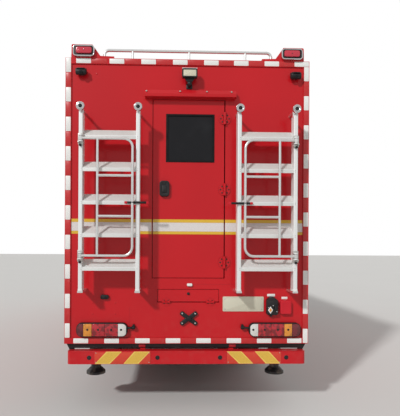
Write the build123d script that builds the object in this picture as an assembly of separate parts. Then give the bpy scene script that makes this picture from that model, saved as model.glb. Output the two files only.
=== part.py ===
from build123d import *
import math
import os

# Fire support truck. Millimetres, +Z up, the truck heads along +Y and its rear faces -Y.
# The origin is on the ground below the middle of the vehicle.

# Stance
overall_length = 9200.0
rear_reach = 280.0          # the handrails stand this far behind the body's rear edge
front_overhang = 1430.0
rear_overhang = 2770.0
wheelbase = overall_length - front_overhang - rear_overhang
front_y = overall_length / 2
rear_y = -overall_length / 2 + rear_reach
front_axle_y = front_y - front_overhang
rear_axle_y = front_axle_y - wheelbase

# Clearances
face_gap = 0.3              # between curved faces that seat on each other
run_fit = 0.08              # radial play of a pin in its bore
door_gap = 11.0             # round a door
flap_gap = 7.0              # round a locker flap
hatch_gap = 9.0             # round the rear hatch

# Wheels and tyres
tyre_radius = 522.0
tyre_width = 295.0
tyre_wall_radius = 90.0     # bulge of the sidewall, as the shoulder's corner radius
rim_seat_radius = 286.0
rim_flange_radius = 303.0
rim_flange_width = 14.0
rim_wall = 12.0
disc_thick = 14.0
hub_radius = 140.0
vent_count = 10
vent_radius = 27.0
vent_pitch_radius = 215.0
spindle_radius = 35.0
front_track = 2050.0
dual_spacing = 330.0
rear_outer_x = 1227.5
front_disc_offset = 92.0    # the front disc stands this far outside the tyre's middle

# Frame rails and subframe
rail_outer_x = 430.0
rail_flange = 75.0
rail_web = 8.0
rail_top_z = 1000.0
rail_height = 250.0
rail_rear_setback = 150.0
beam_setback = 200.0
member_width = 80.0
member_height = 120.0
subframe_height = 150.0
subframe_width = 60.0
bearer_height = 120.0
bearer_width = 60.0
rail_bottom_z = rail_top_z - rail_height
subframe_top_z = rail_top_z + subframe_height
bearer_top_z = subframe_top_z + bearer_height
rail_rear_y = rear_y + rail_rear_setback
beam_front_y = front_y - beam_setback

# Box body
body_width = 2500.0
body_top_z = 3590.0
skirt_bottom_z = 680.0
wall_thick = 60.0
floor_thick = 60.0
edge_band = 60.0
edge_depth = 100.0
edge_proud = 12.0
roof_edge_radius = 30.0
body_half = body_width / 2
wall_inner_x = body_half - wall_thick
wall_face_y = rear_y + edge_proud
floor_top_z = bearer_top_z + floor_thick
wall_top_z = body_top_z - wall_thick
side_rear_y = rear_y + edge_depth

# Cab
cab_setback = 60.0          # the front bumper stands this far ahead of the cab
cab_length = 2050.0
cab_gap = 120.0
cab_width = 2300.0
cab_floor_z = 1200.0
cab_nose_z = 875.0
cab_roof_z = 2950.0
cab_belt_z = 1930.0
cab_wall = 50.0
cab_front_y = front_y - cab_setback
cab_rear_y = cab_front_y - cab_length
cab_half = cab_width / 2
box_front_y = cab_rear_y - cab_gap


def block(x0, x1, y0, y1, z0, z1):
    """A box between two corners."""
    size = Box(abs(x1 - x0), abs(y1 - y0), abs(z1 - z0))
    return Pos((x0 + x1) / 2, (y0 + y1) / 2, (z0 + z1) / 2) * size


def rod(start, end, radius):
    """A round bar from one point to another."""
    run = Vector(*end) - Vector(*start)
    bar = Cylinder(radius, run.length, align=(Align.CENTER, Align.CENTER, Align.MIN))
    return Plane(origin=start, z_dir=run) * bar


def prism_yz(points, x0, x1):
    """A side-view outline drawn out across the truck."""
    face = Plane.YZ * make_face(Polyline(*points, close=True))
    return Pos(min(x0, x1), 0, 0) * extrude(face, abs(x1 - x0))


def prism_xz(points, y0, y1):
    """A rear-view outline drawn out along the truck."""
    face = Plane.XZ * make_face(Polyline(*points, close=True))
    return Pos(0, max(y0, y1), 0) * extrude(face, abs(y1 - y0))


def rounded_panel(x0, x1, z0, z1, radius, y0, y1):
    """An upright plate with rounded corners that faces along the truck."""
    outline = Plane.XZ * RectangleRounded(x1 - x0, z1 - z0, radius)
    return Pos((x0 + x1) / 2, y1, (z0 + z1) / 2) * extrude(outline, y1 - y0)


def rounded_side(y0, y1, z0, z1, radius, x0, x1):
    """An upright plate with rounded corners that faces across the truck."""
    outline = Plane.YZ * RectangleRounded(y1 - y0, z1 - z0, radius)
    return Pos(min(x0, x1), (y0 + y1) / 2, (z0 + z1) / 2) * extrude(outline, abs(x1 - x0))


def other_side(shape):
    """The same piece on the other side of the truck."""
    return mirror(shape, about=Plane.YZ)


def fused(pieces):
    """Pieces that are welded or moulded together."""
    first, *rest = pieces
    return first.fuse(*rest) if rest else first


def apart(pieces):
    """Separate solids that share a node."""
    solids = []
    for piece in pieces:
        solids.extend(piece.solids())
    return Compound(children=solids)


# Hinges: leaves on both faces about one pin, set out from the face in the middle of the gap
# barrel radius, distance from the face to the pin, reach of a leaf, leaf thickness, height, pin radius
door_hinge = (14.0, 17.0, 62.0, 8.0, 124.0, 6.0)
flap_hinge = (9.0, 11.0, 38.0, 5.0, 84.0, 4.0)
hinge_play = 1.0            # between the barrels, end to end


def hinge_leaf(size, side, barrels):
    """One leaf on +x or -x of the pin, with its barrels; +y points into the wall."""
    barrel_radius, stand, reach, thick, height, pin_radius = size
    third = height / 3
    near, far = sorted((side * (barrel_radius + 2), side * reach))
    leaf = block(near, far, stand - thick, stand, -height / 2, height / 2)
    leaf &= Rot(90, 0, 0) * Cylinder(max(reach, height / 2), 4 * stand)
    for index in barrels:
        middle = index * third
        half = third / 2 - hinge_play
        web_near, web_far = sorted((0.0, side * (barrel_radius + 4)))
        leaf += block(web_near, web_far, 0, stand - 0.5, middle - half, middle + half)
        leaf += Pos(0, 0, middle) * Cylinder(barrel_radius, 2 * half)
    return leaf


def hinge_fixed(size):
    """The wall's leaf with the middle barrel and the pin."""
    return hinge_leaf(size, 1, (0,)) + Cylinder(size[5], size[4])


def hinge_moving(size):
    """The door's leaf with the outer barrels, bored for the pin."""
    return hinge_leaf(size, -1, (-1, 1)) - Cylinder(size[5] + run_fit, size[4] * 1.2)


def hinge_plane(point, size, wall_way, pin_way):
    """The pin's plane from a point on the face: x to the wall's side, z along the pin."""
    outward = Vector(*wall_way).cross(Vector(*pin_way))
    origin = Vector(*point) + outward * size[1]
    return Plane(origin=tuple(origin), x_dir=wall_way, z_dir=pin_way)


nodes = {}

# Chassis frame: two channel rails, crossmembers, and the front casting with the towing jaw
front_beam_z = (600.0, 750.0)
front_beam_depth = 100.0
tow_pin_radius = 20.0
tow_pin_y = front_y - 130.0
tow_jaw_half = 55.0
tow_jaw_z = (560.0, 660.0)
tow_slot_z = (592.0, 628.0)
tow_slot_depth = 50.0
rail_front_y = beam_front_y - front_beam_depth - face_gap
engine_y = (front_axle_y - 470.0, front_axle_y + 730.0)
member_count = 6
pivot_y = cab_front_y - 100.0
pivot_z = 850.0
pivot_pin_radius = 15.0
pivot_ear_x = (290.0, 400.0)
pivot_ear_thick = 30.0
pivot_ear_radius = 30.0
bumper_inner_y = front_y - 60.0
bumper_arm_z = (front_beam_z[0] + 40, front_beam_z[1] - 10)


def stations(first, last, count):
    """Evenly spaced places along the truck."""
    return [first + (last - first) * index / (count - 1) for index in range(count)]


def channel_rail(sign):
    web_x = rail_outer_x - rail_web
    inner_x = rail_outer_x - rail_flange
    outline = [
        (sign * rail_outer_x, rail_bottom_z),
        (sign * rail_outer_x, rail_top_z),
        (sign * inner_x, rail_top_z),
        (sign * inner_x, rail_top_z - rail_web),
        (sign * web_x, rail_top_z - rail_web),
        (sign * web_x, rail_bottom_z + rail_web),
        (sign * inner_x, rail_bottom_z + rail_web),
        (sign * inner_x, rail_bottom_z),
    ]
    return prism_xz(outline, rail_rear_y, rail_front_y)


def crossmember(y):
    web_x = rail_outer_x - rail_web - face_gap
    top_z = rail_top_z - rail_web - face_gap
    low_z = top_z - member_height
    body = block(-web_x, web_x, y - member_width / 2, y + member_width / 2, low_z, top_z)
    hollow = block(
        -web_x, web_x,
        y - member_width / 2 + rail_web, y + member_width / 2,
        low_z + rail_web, top_z - rail_web,
    )
    return body - hollow


def tow_jaw():
    low_z, high_z = tow_jaw_z
    jaw = block(-tow_jaw_half, tow_jaw_half, beam_front_y - 40, tow_pin_y, low_z, high_z)
    jaw += Pos(0, tow_pin_y, (low_z + high_z) / 2) * Cylinder(tow_jaw_half, high_z - low_z)
    slot_low, slot_high = tow_slot_z
    jaw -= block(-tow_jaw_half * 2, tow_jaw_half * 2, tow_pin_y - tow_slot_depth, front_y, slot_low, slot_high)
    return jaw - Pos(0, tow_pin_y, low_z) * Cylinder(tow_pin_radius, 3 * (high_z - low_z))


def pivot_ear(x0, x1):
    """An ear on the front casting that holds the cab's tilt pin."""
    ear = block(x0, x1, beam_front_y - front_beam_depth, beam_front_y, front_beam_z[1] - 10, pivot_z + 20)
    ear += block(x0, x1, beam_front_y - 10, pivot_y, pivot_z - pivot_ear_radius, pivot_z + pivot_ear_radius)
    end = rod((x0, pivot_y, pivot_z), (x1, pivot_y, pivot_z), pivot_ear_radius)
    return ear + end


def front_casting():
    """The beam across the rails' front ends, with their end plates, the tilt ears and the jaw."""
    beam_rear_y = beam_front_y - front_beam_depth
    arm_in = rail_outer_x - rail_flange
    pieces = [block(-rail_outer_x, rail_outer_x, beam_rear_y, beam_front_y, *front_beam_z)]
    for sign in (1, -1):
        pieces.append(
            block(sign * arm_in, sign * rail_outer_x, beam_front_y - 20, bumper_inner_y, *bumper_arm_z)
        )
        pieces.append(
            block(sign * arm_in, sign * rail_outer_x, beam_rear_y, beam_rear_y + 20,
                  front_beam_z[1] - 10, rail_top_z)
        )
        near, far = pivot_ear_x
        pieces.append(pivot_ear(min(sign * near, sign * (near + pivot_ear_thick)),
                                max(sign * near, sign * (near + pivot_ear_thick))))
        pieces.append(pivot_ear(min(sign * far, sign * (far - pivot_ear_thick)),
                                max(sign * far, sign * (far - pivot_ear_thick))))
        pieces.append(
            rod((sign * near, pivot_y, pivot_z), (sign * far, pivot_y, pivot_z), pivot_pin_radius)
        )
    pieces.append(tow_jaw())
    return fused(pieces)


member_stations = stations(rail_rear_y + 50, engine_y[0] - 250, member_count) + [rail_front_y - 60]
members = [crossmember(y) for y in member_stations]
nodes["chassis_frame"] = apart([channel_rail(1), channel_rail(-1), *members, front_casting()])

# Subframe: two runners on the rails and the floor bearers across them
bearer_stations = stations(rail_rear_y + 20, box_front_y - 170, 8)
subframe_front_y = box_front_y - 40.0


def subframe():
    """The bars in a list, each a hair below what it carries."""
    runner_in = rail_outer_x - subframe_width
    pieces = []
    for sign in (1, -1):
        pieces.append(
            block(sign * runner_in, sign * rail_outer_x, rail_rear_y, subframe_front_y,
                  rail_top_z, subframe_top_z - face_gap)
        )
    for y in bearer_stations:
        pieces.append(
            block(-wall_inner_x, wall_inner_x, y - bearer_width / 2, y + bearer_width / 2,
                  subframe_top_z, bearer_top_z - face_gap)
        )
    return pieces


# Leaf springs: graded leaves between hangers under the rails
leaf_width = 80.0
leaf_thick = 18.0
leaf_lengths = (1500.0, 1150.0, 760.0)
spring_x = rail_outer_x - leaf_width / 2 + 5.0
hanger_thick = 40.0
# axle's y, top of the axle under the leaves, rise of the leaf ends
spring_stations = (
    (front_axle_y, 505.0, 90.0),
    (rear_axle_y, 600.0, 60.0),
)


def leaf(axle_y, low_z, length, rise):
    """One bowed leaf, thick all along."""
    half = length / 2
    drop = rise * (length / leaf_lengths[0]) ** 2
    lower = ThreePointArc((axle_y - half, low_z + drop), (axle_y, low_z), (axle_y + half, low_z + drop))
    tip = Line(lower @ 1, lower @ 1 + Vector(0, leaf_thick))
    upper = ThreePointArc(tip @ 1, (axle_y, low_z + leaf_thick), lower @ 0 + Vector(0, leaf_thick))
    root = Line(upper @ 1, lower @ 0)
    face = Plane.YZ * make_face([lower, tip, upper, root])
    return extrude(face, leaf_width)


def spring_pack(axle_y, seat_z, rise):
    pieces = []
    count = len(leaf_lengths)
    for index, length in enumerate(leaf_lengths):
        low_z = seat_z + (count - 1 - index) * (leaf_thick - 1.0)
        pieces.append(leaf(axle_y, low_z, length, rise))
    main_z = seat_z + (count - 1) * (leaf_thick - 1.0) + rise
    for end in (-1, 1):
        eye_y = axle_y + end * leaf_lengths[0] / 2
        pieces.append(
            block(0, leaf_width, eye_y - hanger_thick / 2, eye_y + hanger_thick / 2,
                  main_z - 10, rail_bottom_z)
        )
    clamp_z = seat_z + count * leaf_thick
    pieces.append(block(0, leaf_width, axle_y - 60, axle_y + 60, seat_z, clamp_z))
    return Pos(spring_x - leaf_width / 2, 0, 0) * fused(pieces)


right_springs = [spring_pack(*station) for station in spring_stations]
nodes["leaf_springs"] = apart(right_springs + [other_side(s) for s in right_springs])

# Front axle: a dropped beam with an eye for each king pin
king_pin_x = 900.0
king_pin_radius = 20.0
eye_radius = 45.0
eye_height = 110.0
beam_width = 90.0
beam_depth = 90.0
beam_top_z = 505.0
beam_slope_x = (620.0, 800.0)


def front_axle():
    near, far = beam_slope_x
    low_z = beam_top_z - beam_depth
    end_low = tyre_radius - eye_height / 2 + 8
    end_high = tyre_radius + eye_height / 2 - 8
    tip = king_pin_x - king_pin_radius
    outline = [
        (-tip, end_low), (-far, end_low), (-near, low_z), (near, low_z), (far, end_low),
        (tip, end_low), (tip, end_high), (far, end_high), (near, beam_top_z),
        (-near, beam_top_z), (-far, end_high), (-tip, end_high),
    ]
    beam = prism_xz(outline, front_axle_y - beam_width / 2, front_axle_y + beam_width / 2)
    for sign in (1, -1):
        place = Pos(sign * king_pin_x, front_axle_y, tyre_radius)
        beam += place * Cylinder(eye_radius, eye_height)
        beam -= place * Cylinder(king_pin_radius + run_fit, eye_height * 2)
    return beam


nodes["front_axle"] = front_axle()

# Steering knuckles: two lugs, the king pin, the spindle and the steering arm
lug_height = 28.0
lug_gap = 6.0
knuckle_web_x = (52.0, 84.0)
knuckle_half = 55.0
spindle_end_x = 196.0
arm_reach = 180.0
arm_thick = 24.0
ball_radius = 14.0
tie_z = 410.0
tie_radius = 18.0
tie_eye_radius = 28.0
tie_eye_height = 40.0


def knuckle():
    lug_low = eye_height / 2 + lug_gap
    lug_high = lug_low + lug_height
    web_near, web_far = knuckle_web_x
    pieces = [Cylinder(king_pin_radius, 2 * lug_high)]
    for sign in (1, -1):
        middle = sign * (lug_low + lug_high) / 2
        pieces.append(Pos(0, 0, middle) * Cylinder(eye_radius, lug_height))
        pieces.append(
            block(0, web_far, -eye_radius + 5, eye_radius - 5, middle - lug_height / 2,
                  middle + lug_height / 2)
        )
    pieces.append(block(web_near, web_far, -knuckle_half, knuckle_half, -lug_high, lug_high))
    pieces.append(rod((web_near, 0, 0), (spindle_end_x, 0, 0), spindle_radius))
    arm_z = -lug_high + arm_thick / 2
    ball_z = tie_z - tyre_radius
    arm = prism_xy_arm(arm_z)
    pieces.append(arm)
    pieces.append(
        rod((0, -arm_reach, arm_z), (0, -arm_reach, ball_z - tie_eye_height / 2), ball_radius)
    )
    return Pos(king_pin_x, front_axle_y, tyre_radius) * fused(pieces)


def prism_xy_arm(arm_z):
    """The steering arm, straight back from the lower lug so that both arms stay parallel."""
    outline = [
        (-30, -10), (-22, -arm_reach + 10), (-22, -arm_reach - 18),
        (22, -arm_reach - 18), (22, -arm_reach + 10), (30, -10),
    ]
    face = make_face(Polyline(*outline, close=True))
    return Pos(0, 0, arm_z - arm_thick / 2) * extrude(face, arm_thick)


right_knuckle = knuckle()
nodes["knuckle_right"] = right_knuckle
nodes["knuckle_left"] = other_side(right_knuckle)


def tie_rod():
    half = king_pin_x
    y = front_axle_y - arm_reach
    bar = rod((-half, y, tie_z), (half, y, tie_z), tie_radius)
    for sign in (1, -1):
        place = Pos(sign * half, y, tie_z)
        bar += place * Cylinder(tie_eye_radius, tie_eye_height)
        clearance = run_fit if sign < 0 else 2.0
        bar -= place * Cylinder(ball_radius + clearance, tie_eye_height * 2)
    return bar


nodes["tie_rod"] = tie_rod()

# Rear axle: the differential case, the tubes and the hub spindles
diff_radius = 190.0
axle_tube_radius = 75.0
rear_spindle_x = 1010.0
rear_tube_x = 780.0


def rear_axle():
    case = Pos(0, rear_axle_y, tyre_radius) * Sphere(diff_radius)
    tube = rod((-rear_tube_x, rear_axle_y, tyre_radius), (rear_tube_x, rear_axle_y, tyre_radius),
               axle_tube_radius)
    spindle = rod((-rear_spindle_x, rear_axle_y, tyre_radius), (rear_spindle_x, rear_axle_y, tyre_radius),
                  spindle_radius)
    nose = rod((0, rear_axle_y, tyre_radius), (0, rear_axle_y + diff_radius + 90, tyre_radius), 80)
    axle = case + tube + spindle + nose
    for sign in (1, -1):
        axle += block(sign * (spring_x - leaf_width / 2), sign * (spring_x + leaf_width / 2),
                      rear_axle_y - 60, rear_axle_y + 60, tyre_radius, 600)
    return axle


# Engine and gearbox: one plain block on lugs that rest on the rails
engine_half = 340.0
engine_z = (640.0, 1350.0)
engine_lug_stations = (engine_y[0] + 200, engine_y[1] - 150)


def engine():
    body = block(-engine_half, engine_half, *engine_y, *engine_z)
    pieces = [body]
    for y in engine_lug_stations:
        pieces.append(
            block(-rail_outer_x + 10, rail_outer_x - 10, y - 60, y + 60, rail_top_z, rail_top_z + 30)
        )
    return fused(pieces)


nodes["engine"] = engine()

# Propeller shaft from the gearbox to the differential's nose
shaft_radius = 45.0
shaft_front_z = 780.0


def propshaft():
    start = (0, engine_y[0], shaft_front_z)
    end = (0, rear_axle_y + diff_radius + 80, tyre_radius)
    return rod(start, end, shaft_radius) - block(-100, 100, engine_y[0], engine_y[1], 0, rail_top_z)


nodes["rear_axle"] = rear_axle() + propshaft()


def tyre(middle_x, axle_y):
    """A tyre about the X axis, with rounded shoulders and upright beads."""
    half = tyre_width / 2
    inner = rim_seat_radius + face_gap
    bead_half = half - 12
    shoulder = 46.0
    side = half - shoulder
    points = [
        (-bead_half + 30, inner), (bead_half - 30, inner),
    ]
    base = Line(*points)
    bead_right = Line(base @ 1, (bead_half, rim_flange_radius + 8))
    wall_right = ThreePointArc(bead_right @ 1, (half, 410), (half - 14, tyre_radius - shoulder))
    shoulder_right = ThreePointArc(
        wall_right @ 1, (half - 24, tyre_radius - 16), (side, tyre_radius)
    )
    tread = Line(shoulder_right @ 1, (-side, tyre_radius))
    shoulder_left = ThreePointArc(
        tread @ 1, (-half + 24, tyre_radius - 16), (-half + 14, tyre_radius - shoulder)
    )
    wall_left = ThreePointArc(
        shoulder_left @ 1, (-half, 410), (-bead_half, rim_flange_radius + 8)
    )
    bead_left = Line(wall_left @ 1, base @ 0)
    outline = make_face([
        base, bead_right, wall_right, shoulder_right, tread, shoulder_left, wall_left, bead_left,
    ])
    return Pos(middle_x, axle_y, tyre_radius) * revolve(outline, Axis.X, 360)


def revolved(points):
    """A ring about the X axis from an outline of (place along the axle, radius)."""
    return revolve(make_face(Polyline(*points, close=True)), Axis.X, 360)


def rim_barrel(middle_x):
    inner = rim_seat_radius - rim_wall
    half = tyre_width / 2
    flange = half - rim_flange_width + 2
    points = [
        (-half, inner), (half, inner), (half, rim_flange_radius), (flange, rim_flange_radius),
        (flange, rim_seat_radius), (-flange, rim_seat_radius), (-flange, rim_flange_radius),
        (-half, rim_flange_radius),
    ]
    return Pos(middle_x, 0, 0) * revolved(points)


def rim_disc(disc_x, barrel_x):
    """The dished disc: flat in the middle, coned out to the barrel."""
    edge = rim_seat_radius - rim_wall + 1
    step = disc_thick if barrel_x > disc_x else -disc_thick
    points = [
        (disc_x, 0), (disc_x, 165), (barrel_x - step, edge), (barrel_x, edge),
        (disc_x + step, 150), (disc_x + step, 0),
    ]
    return revolved(points)


def vent_holes(x, reach):
    cutters = []
    for index in range(vent_count):
        turn = math.radians(360 / vent_count * index)
        y = vent_pitch_radius * math.cos(turn)
        z = vent_pitch_radius * math.sin(turn)
        cutters.append(rod((x - reach, y, z), (x + reach, y, z), vent_radius))
    return cutters


front_wheel_x = front_track / 2
hub_clearance = 7.0
drum_radius = 200.0
hub_nose = 62.0


def front_rim():
    disc_x = front_wheel_x + front_disc_offset
    inner_x = king_pin_x + knuckle_web_x[1] + hub_clearance
    wheel = rim_barrel(front_wheel_x)
    wheel += rim_disc(disc_x, disc_x - 70)
    drum = rod((inner_x, 0, 0), (disc_x - 5, 0, 0), drum_radius - 40)
    nose = rod((disc_x - 10, 0, 0), (disc_x + hub_nose, 0, 0), hub_radius)
    wheel = wheel + drum + nose
    for hole in vent_holes(disc_x - 20, 70):
        wheel -= hole
    bore_end = king_pin_x + spindle_end_x + 4
    wheel -= rod((inner_x - 10, 0, 0), (bore_end, 0, 0), spindle_radius + face_gap)
    return Pos(0, front_axle_y, tyre_radius) * wheel


rear_middle_x = rear_outer_x - tyre_width / 2
dual_middle_x = rear_middle_x - dual_spacing
rear_disc_x = (rear_middle_x + dual_middle_x) / 2


def rear_rim():
    wheel = rim_barrel(rear_middle_x) + rim_barrel(dual_middle_x)
    wheel += rim_disc(rear_disc_x - 0.5, rear_disc_x + 60)
    wheel += rim_disc(rear_disc_x + 0.5, rear_disc_x - 60)
    inner_x = rear_tube_x + hub_clearance
    drum = rod((inner_x, 0, 0), (rear_disc_x, 0, 0), hub_radius)
    nose = rod((rear_disc_x, 0, 0), (rear_outer_x - 20, 0, 0), hub_radius - 15)
    wheel = wheel + drum + nose
    for hole in vent_holes(rear_disc_x, 60):
        wheel -= hole
    wheel -= rod((inner_x - 10, 0, 0), (rear_spindle_x + 4, 0, 0), spindle_radius + face_gap)
    return Pos(0, rear_axle_y, tyre_radius) * wheel


right_front_tyre = tyre(front_wheel_x, front_axle_y)
right_rear_tyres = apart([tyre(rear_middle_x, rear_axle_y), tyre(dual_middle_x, rear_axle_y)])
right_front_rim = front_rim()
right_rear_rims = rear_rim()
nodes["front_tyre_right"] = right_front_tyre
nodes["front_tyre_left"] = other_side(right_front_tyre)
nodes["front_rim_right"] = right_front_rim
nodes["front_rim_left"] = other_side(right_front_rim)
nodes["rear_tyres_right"] = right_rear_tyres
nodes["rear_tyres_left"] = other_side(right_rear_tyres)
nodes["rear_rims_right"] = right_rear_rims
nodes["rear_rims_left"] = other_side(right_rear_rims)

# Front mudguards: arched shells on arms from the rails
guard_radius = 640.0
guard_thick = 10.0
guard_x = (860.0, 1150.0)
guard_half_angle = 78.0
guard_arm_angle = 62.0
guard_arm_radius = 22.0


def front_mudguard():
    near, far = guard_x
    outer = guard_radius + guard_thick
    ring = rod((near, 0, 0), (far, 0, 0), outer) - rod((near - 1, 0, 0), (far + 1, 0, 0), guard_radius)
    reach = outer * 2
    edge = reach * math.tan(math.radians(guard_half_angle))
    wedge = prism_yz([(0, 0), (edge, reach), (-edge, reach)], near - 1, far + 1)
    shell = ring & wedge
    for side in (1, -1):
        angle = math.radians(guard_arm_angle)
        radius = outer + guard_arm_radius - 4
        y = side * radius * math.sin(angle)
        z = radius * math.cos(angle)
        shell += rod((rail_outer_x, y, z), (far - 40, y, z), guard_arm_radius)
    return Pos(0, front_axle_y, tyre_radius) * shell


right_guard = front_mudguard()
nodes["front_mudguards"] = apart([right_guard, other_side(right_guard)])

# Fuel tank on the left and battery box on the right, on arms from the rails
tank_x = (body_half - 650, body_half - 60)
fuel_tank_y = (box_front_y - 1470, box_front_y - 220)
battery_y = (box_front_y - 1500, box_front_y - 1090)
tank_z = (560.0, 1120.0)
tank_radius = 110.0
tank_arm_width = 70.0
tank_arm_z = (rail_bottom_z + 30, rail_bottom_z + 160)


def side_tank(span_y, radius):
    near, far = tank_x
    low_z, high_z = tank_z
    outline = Plane.XZ * RectangleRounded(far - near, high_z - low_z, radius)
    tank = Pos((near + far) / 2, span_y[1], (low_z + high_z) / 2) * extrude(outline, span_y[1] - span_y[0])
    inset = (span_y[1] - span_y[0]) / 4
    for y in (span_y[0] + inset, span_y[1] - inset):
        tank += block(rail_outer_x, near + 20, y - tank_arm_width / 2, y + tank_arm_width / 2, *tank_arm_z)
    return tank


nodes["tanks"] = apart([other_side(side_tank(fuel_tank_y, tank_radius)), side_tank(battery_y, 40.0)])

# Rear bumper: a hollow bar with rounded ends on two plates from the rails
bumper_half = 1208.0
rear_bumper_z = (485.0, 616.0)
rear_bumper_back = 50.0
rear_bumper_front = 45.0
bumper_end_radius = 35.0
sensor_radius = 22.5
sensor_depth = 12.0
sensor_x = (-988.0, -300.0, 334.0, 1011.0)
sensor_z = 550.0
bracket_width = 50.0


def rear_bumper():
    low_z, high_z = rear_bumper_z
    back_y = rear_y - rear_bumper_back
    front = rear_y + rear_bumper_front
    outline = RectangleRounded(2 * bumper_half, front - back_y, bumper_end_radius)
    bar = Pos(0, (back_y + front) / 2, low_z) * extrude(outline, high_z - low_z)
    for x in sensor_x:
        bar -= rod((x, back_y - 1, sensor_z), (x, back_y + sensor_depth, sensor_z), sensor_radius)
    plate = [
        (front - 10, low_z + 20), (front + 90, low_z + 20), (rail_rear_y + 60, rail_bottom_z - 20),
        (rail_rear_y + 60, rail_top_z - 60), (rail_rear_y, rail_top_z - 60),
        (rail_rear_y, rail_bottom_z - 60), (front - 10, high_z + 40),
    ]
    for sign in (1, -1):
        bar += prism_yz(plate, sign * rail_outer_x, sign * (rail_outer_x + bracket_width))
    return bar


nodes["rear_bumper"] = rear_bumper()

# Stabiliser legs at the rear corners: tubes on a cross beam and sliding legs with feet
jack_x = 980.0
jack_y = rear_y + 330.0
jack_leg_radius = 52.0
jack_tube_radius = 70.0
jack_tube_low_z = 470.0
jack_foot_z = 290.0
jack_foot_height = 62.0
jack_foot_radius = 102.0
jack_top_clear = 40.0
jack_beam_half = 50.0


def jack_tubes():
    beam = block(-jack_x, jack_x, jack_y - jack_beam_half, jack_y + jack_beam_half, 610, rail_bottom_z)
    for sign in (1, -1):
        beam += rod((sign * jack_x, jack_y, jack_tube_low_z), (sign * jack_x, jack_y, subframe_top_z),
                    jack_tube_radius)
    for sign in (1, -1):
        beam -= rod((sign * jack_x, jack_y, jack_tube_low_z - 1),
                    (sign * jack_x, jack_y, subframe_top_z - 20), jack_leg_radius + face_gap)
    return beam


def jack_leg():
    top_z = subframe_top_z - 20 - jack_top_clear
    leg = rod((jack_x, jack_y, jack_foot_z + 20), (jack_x, jack_y, top_z), jack_leg_radius)
    foot = revolve(
        Plane.XZ * make_face(Polyline(
            (0, 0), (jack_foot_radius, 0), (jack_foot_radius, 25),
            (jack_leg_radius + 12, jack_foot_height), (0, jack_foot_height), close=True,
        )),
        Axis.Z, 360,
    )
    return leg + Pos(jack_x, jack_y, jack_foot_z) * foot


right_leg = jack_leg()
nodes["jack_tubes"] = jack_tubes()
nodes["jack_leg_right"] = right_leg
nodes["jack_leg_left"] = other_side(right_leg)

# Box body: panels as thick as the whole wall, with the doors and windows cut
door_x = (-357.0, 373.0)
door_z = (floor_top_z + 24, body_top_z - 413)
door_thick = 50.0
door_window_x = (-220.0, 266.0)
door_window_z = (door_z[1] - 632, door_z[1] - 150)
door_handle_x = (-288.0, -190.0)
door_handle_z = (door_z[0] + 832, door_z[0] + 989)
window_radius = 45.0
glass_thick = 8.0
pane_reach = 250.0           # how far in from the cab's side the panes are cut
glass_inset = 6.0
hatch_x = (-301.0, 321.0)
hatch_z = (floor_top_z - 221, floor_top_z - 99)
hatch_thick = 20.0
door_hinge_z = (door_z[0] + 159, (door_z[0] + door_z[1]) / 2 - 4.5, door_z[1] - 187)
hatch_hinge_x = (-216.0, 236.0)
canopy_x = (-443.0, 486.0)
canopy_z = (door_z[1] + 13, door_z[1] + 85)
canopy_reach = 75.0
side_door_y = (box_front_y - 1020, box_front_y - 220)
side_door_z = (floor_top_z + 24, body_top_z - 340)
side_hinge_z = (side_door_z[0] + 206, (side_door_z[0] + side_door_z[1]) / 2 - 2, side_door_z[1] - 200)
side_window_z = (body_top_z - 1290, body_top_z - 690)
# side of the truck, rear edge and front edge of each side window
side_windows = (
    (-1, rear_y + 1020, rear_y + 2020),
    (-1, box_front_y - 2170, box_front_y - 1170),
    (1, rear_y + 1020, rear_y + 2020),
)


def rear_door_hinges():
    x = door_x[1] + door_gap / 2
    return [hinge_plane((x, wall_face_y, z), door_hinge, (1, 0, 0), (0, 0, 1)) for z in door_hinge_z]


def hatch_hinges():
    z = hatch_z[0] - hatch_gap / 2
    return [hinge_plane((x, wall_face_y, z), flap_hinge, (0, 0, -1), (1, 0, 0)) for x in hatch_hinge_x]


def side_door_hinges():
    y = side_door_y[1] + door_gap / 2
    return [hinge_plane((body_half, y, z), door_hinge, (0, 1, 0), (0, 0, 1)) for z in side_hinge_z]


def rear_wall():
    wall = block(-wall_inner_x, wall_inner_x, wall_face_y, wall_face_y + wall_thick,
                 skirt_bottom_z + edge_band, wall_top_z)
    wall -= block(door_x[0] - door_gap, door_x[1] + door_gap, rear_y - 10, wall_face_y + wall_thick + 10,
                  door_z[0] - door_gap, door_z[1] + door_gap)
    wall -= block(hatch_x[0] - hatch_gap, hatch_x[1] + hatch_gap, rear_y - 10, wall_face_y + wall_thick + 10,
                  hatch_z[0] - hatch_gap, hatch_z[1] + hatch_gap)
    canopy = [
        (wall_face_y, canopy_z[0]), (wall_face_y - canopy_reach, canopy_z[0]),
        (wall_face_y - canopy_reach, canopy_z[0] + 28), (wall_face_y - canopy_reach + 25, canopy_z[1]),
        (wall_face_y, canopy_z[1]),
    ]
    wall += prism_yz(canopy, *canopy_x)
    for plane in rear_door_hinges():
        wall += plane * hinge_fixed(door_hinge)
    for plane in hatch_hinges():
        wall += plane * hinge_fixed(flap_hinge)
    return wall


def rear_door():
    door = block(*door_x, wall_face_y, wall_face_y + door_thick, *door_z)
    door -= rounded_panel(*door_window_x, *door_window_z, window_radius,
                          wall_face_y - 10, wall_face_y + door_thick + 10)
    for plane in rear_door_hinges():
        door += plane * hinge_moving(door_hinge)
    handle = rounded_panel(*door_handle_x, *door_handle_z, 30, wall_face_y - 30, wall_face_y)
    return door + handle


def rear_door_glass():
    low = face_gap
    return rounded_panel(
        door_window_x[0] + low, door_window_x[1] - low, door_window_z[0] + low, door_window_z[1] - low,
        window_radius - low, wall_face_y + glass_inset, wall_face_y + glass_inset + glass_thick)


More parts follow.
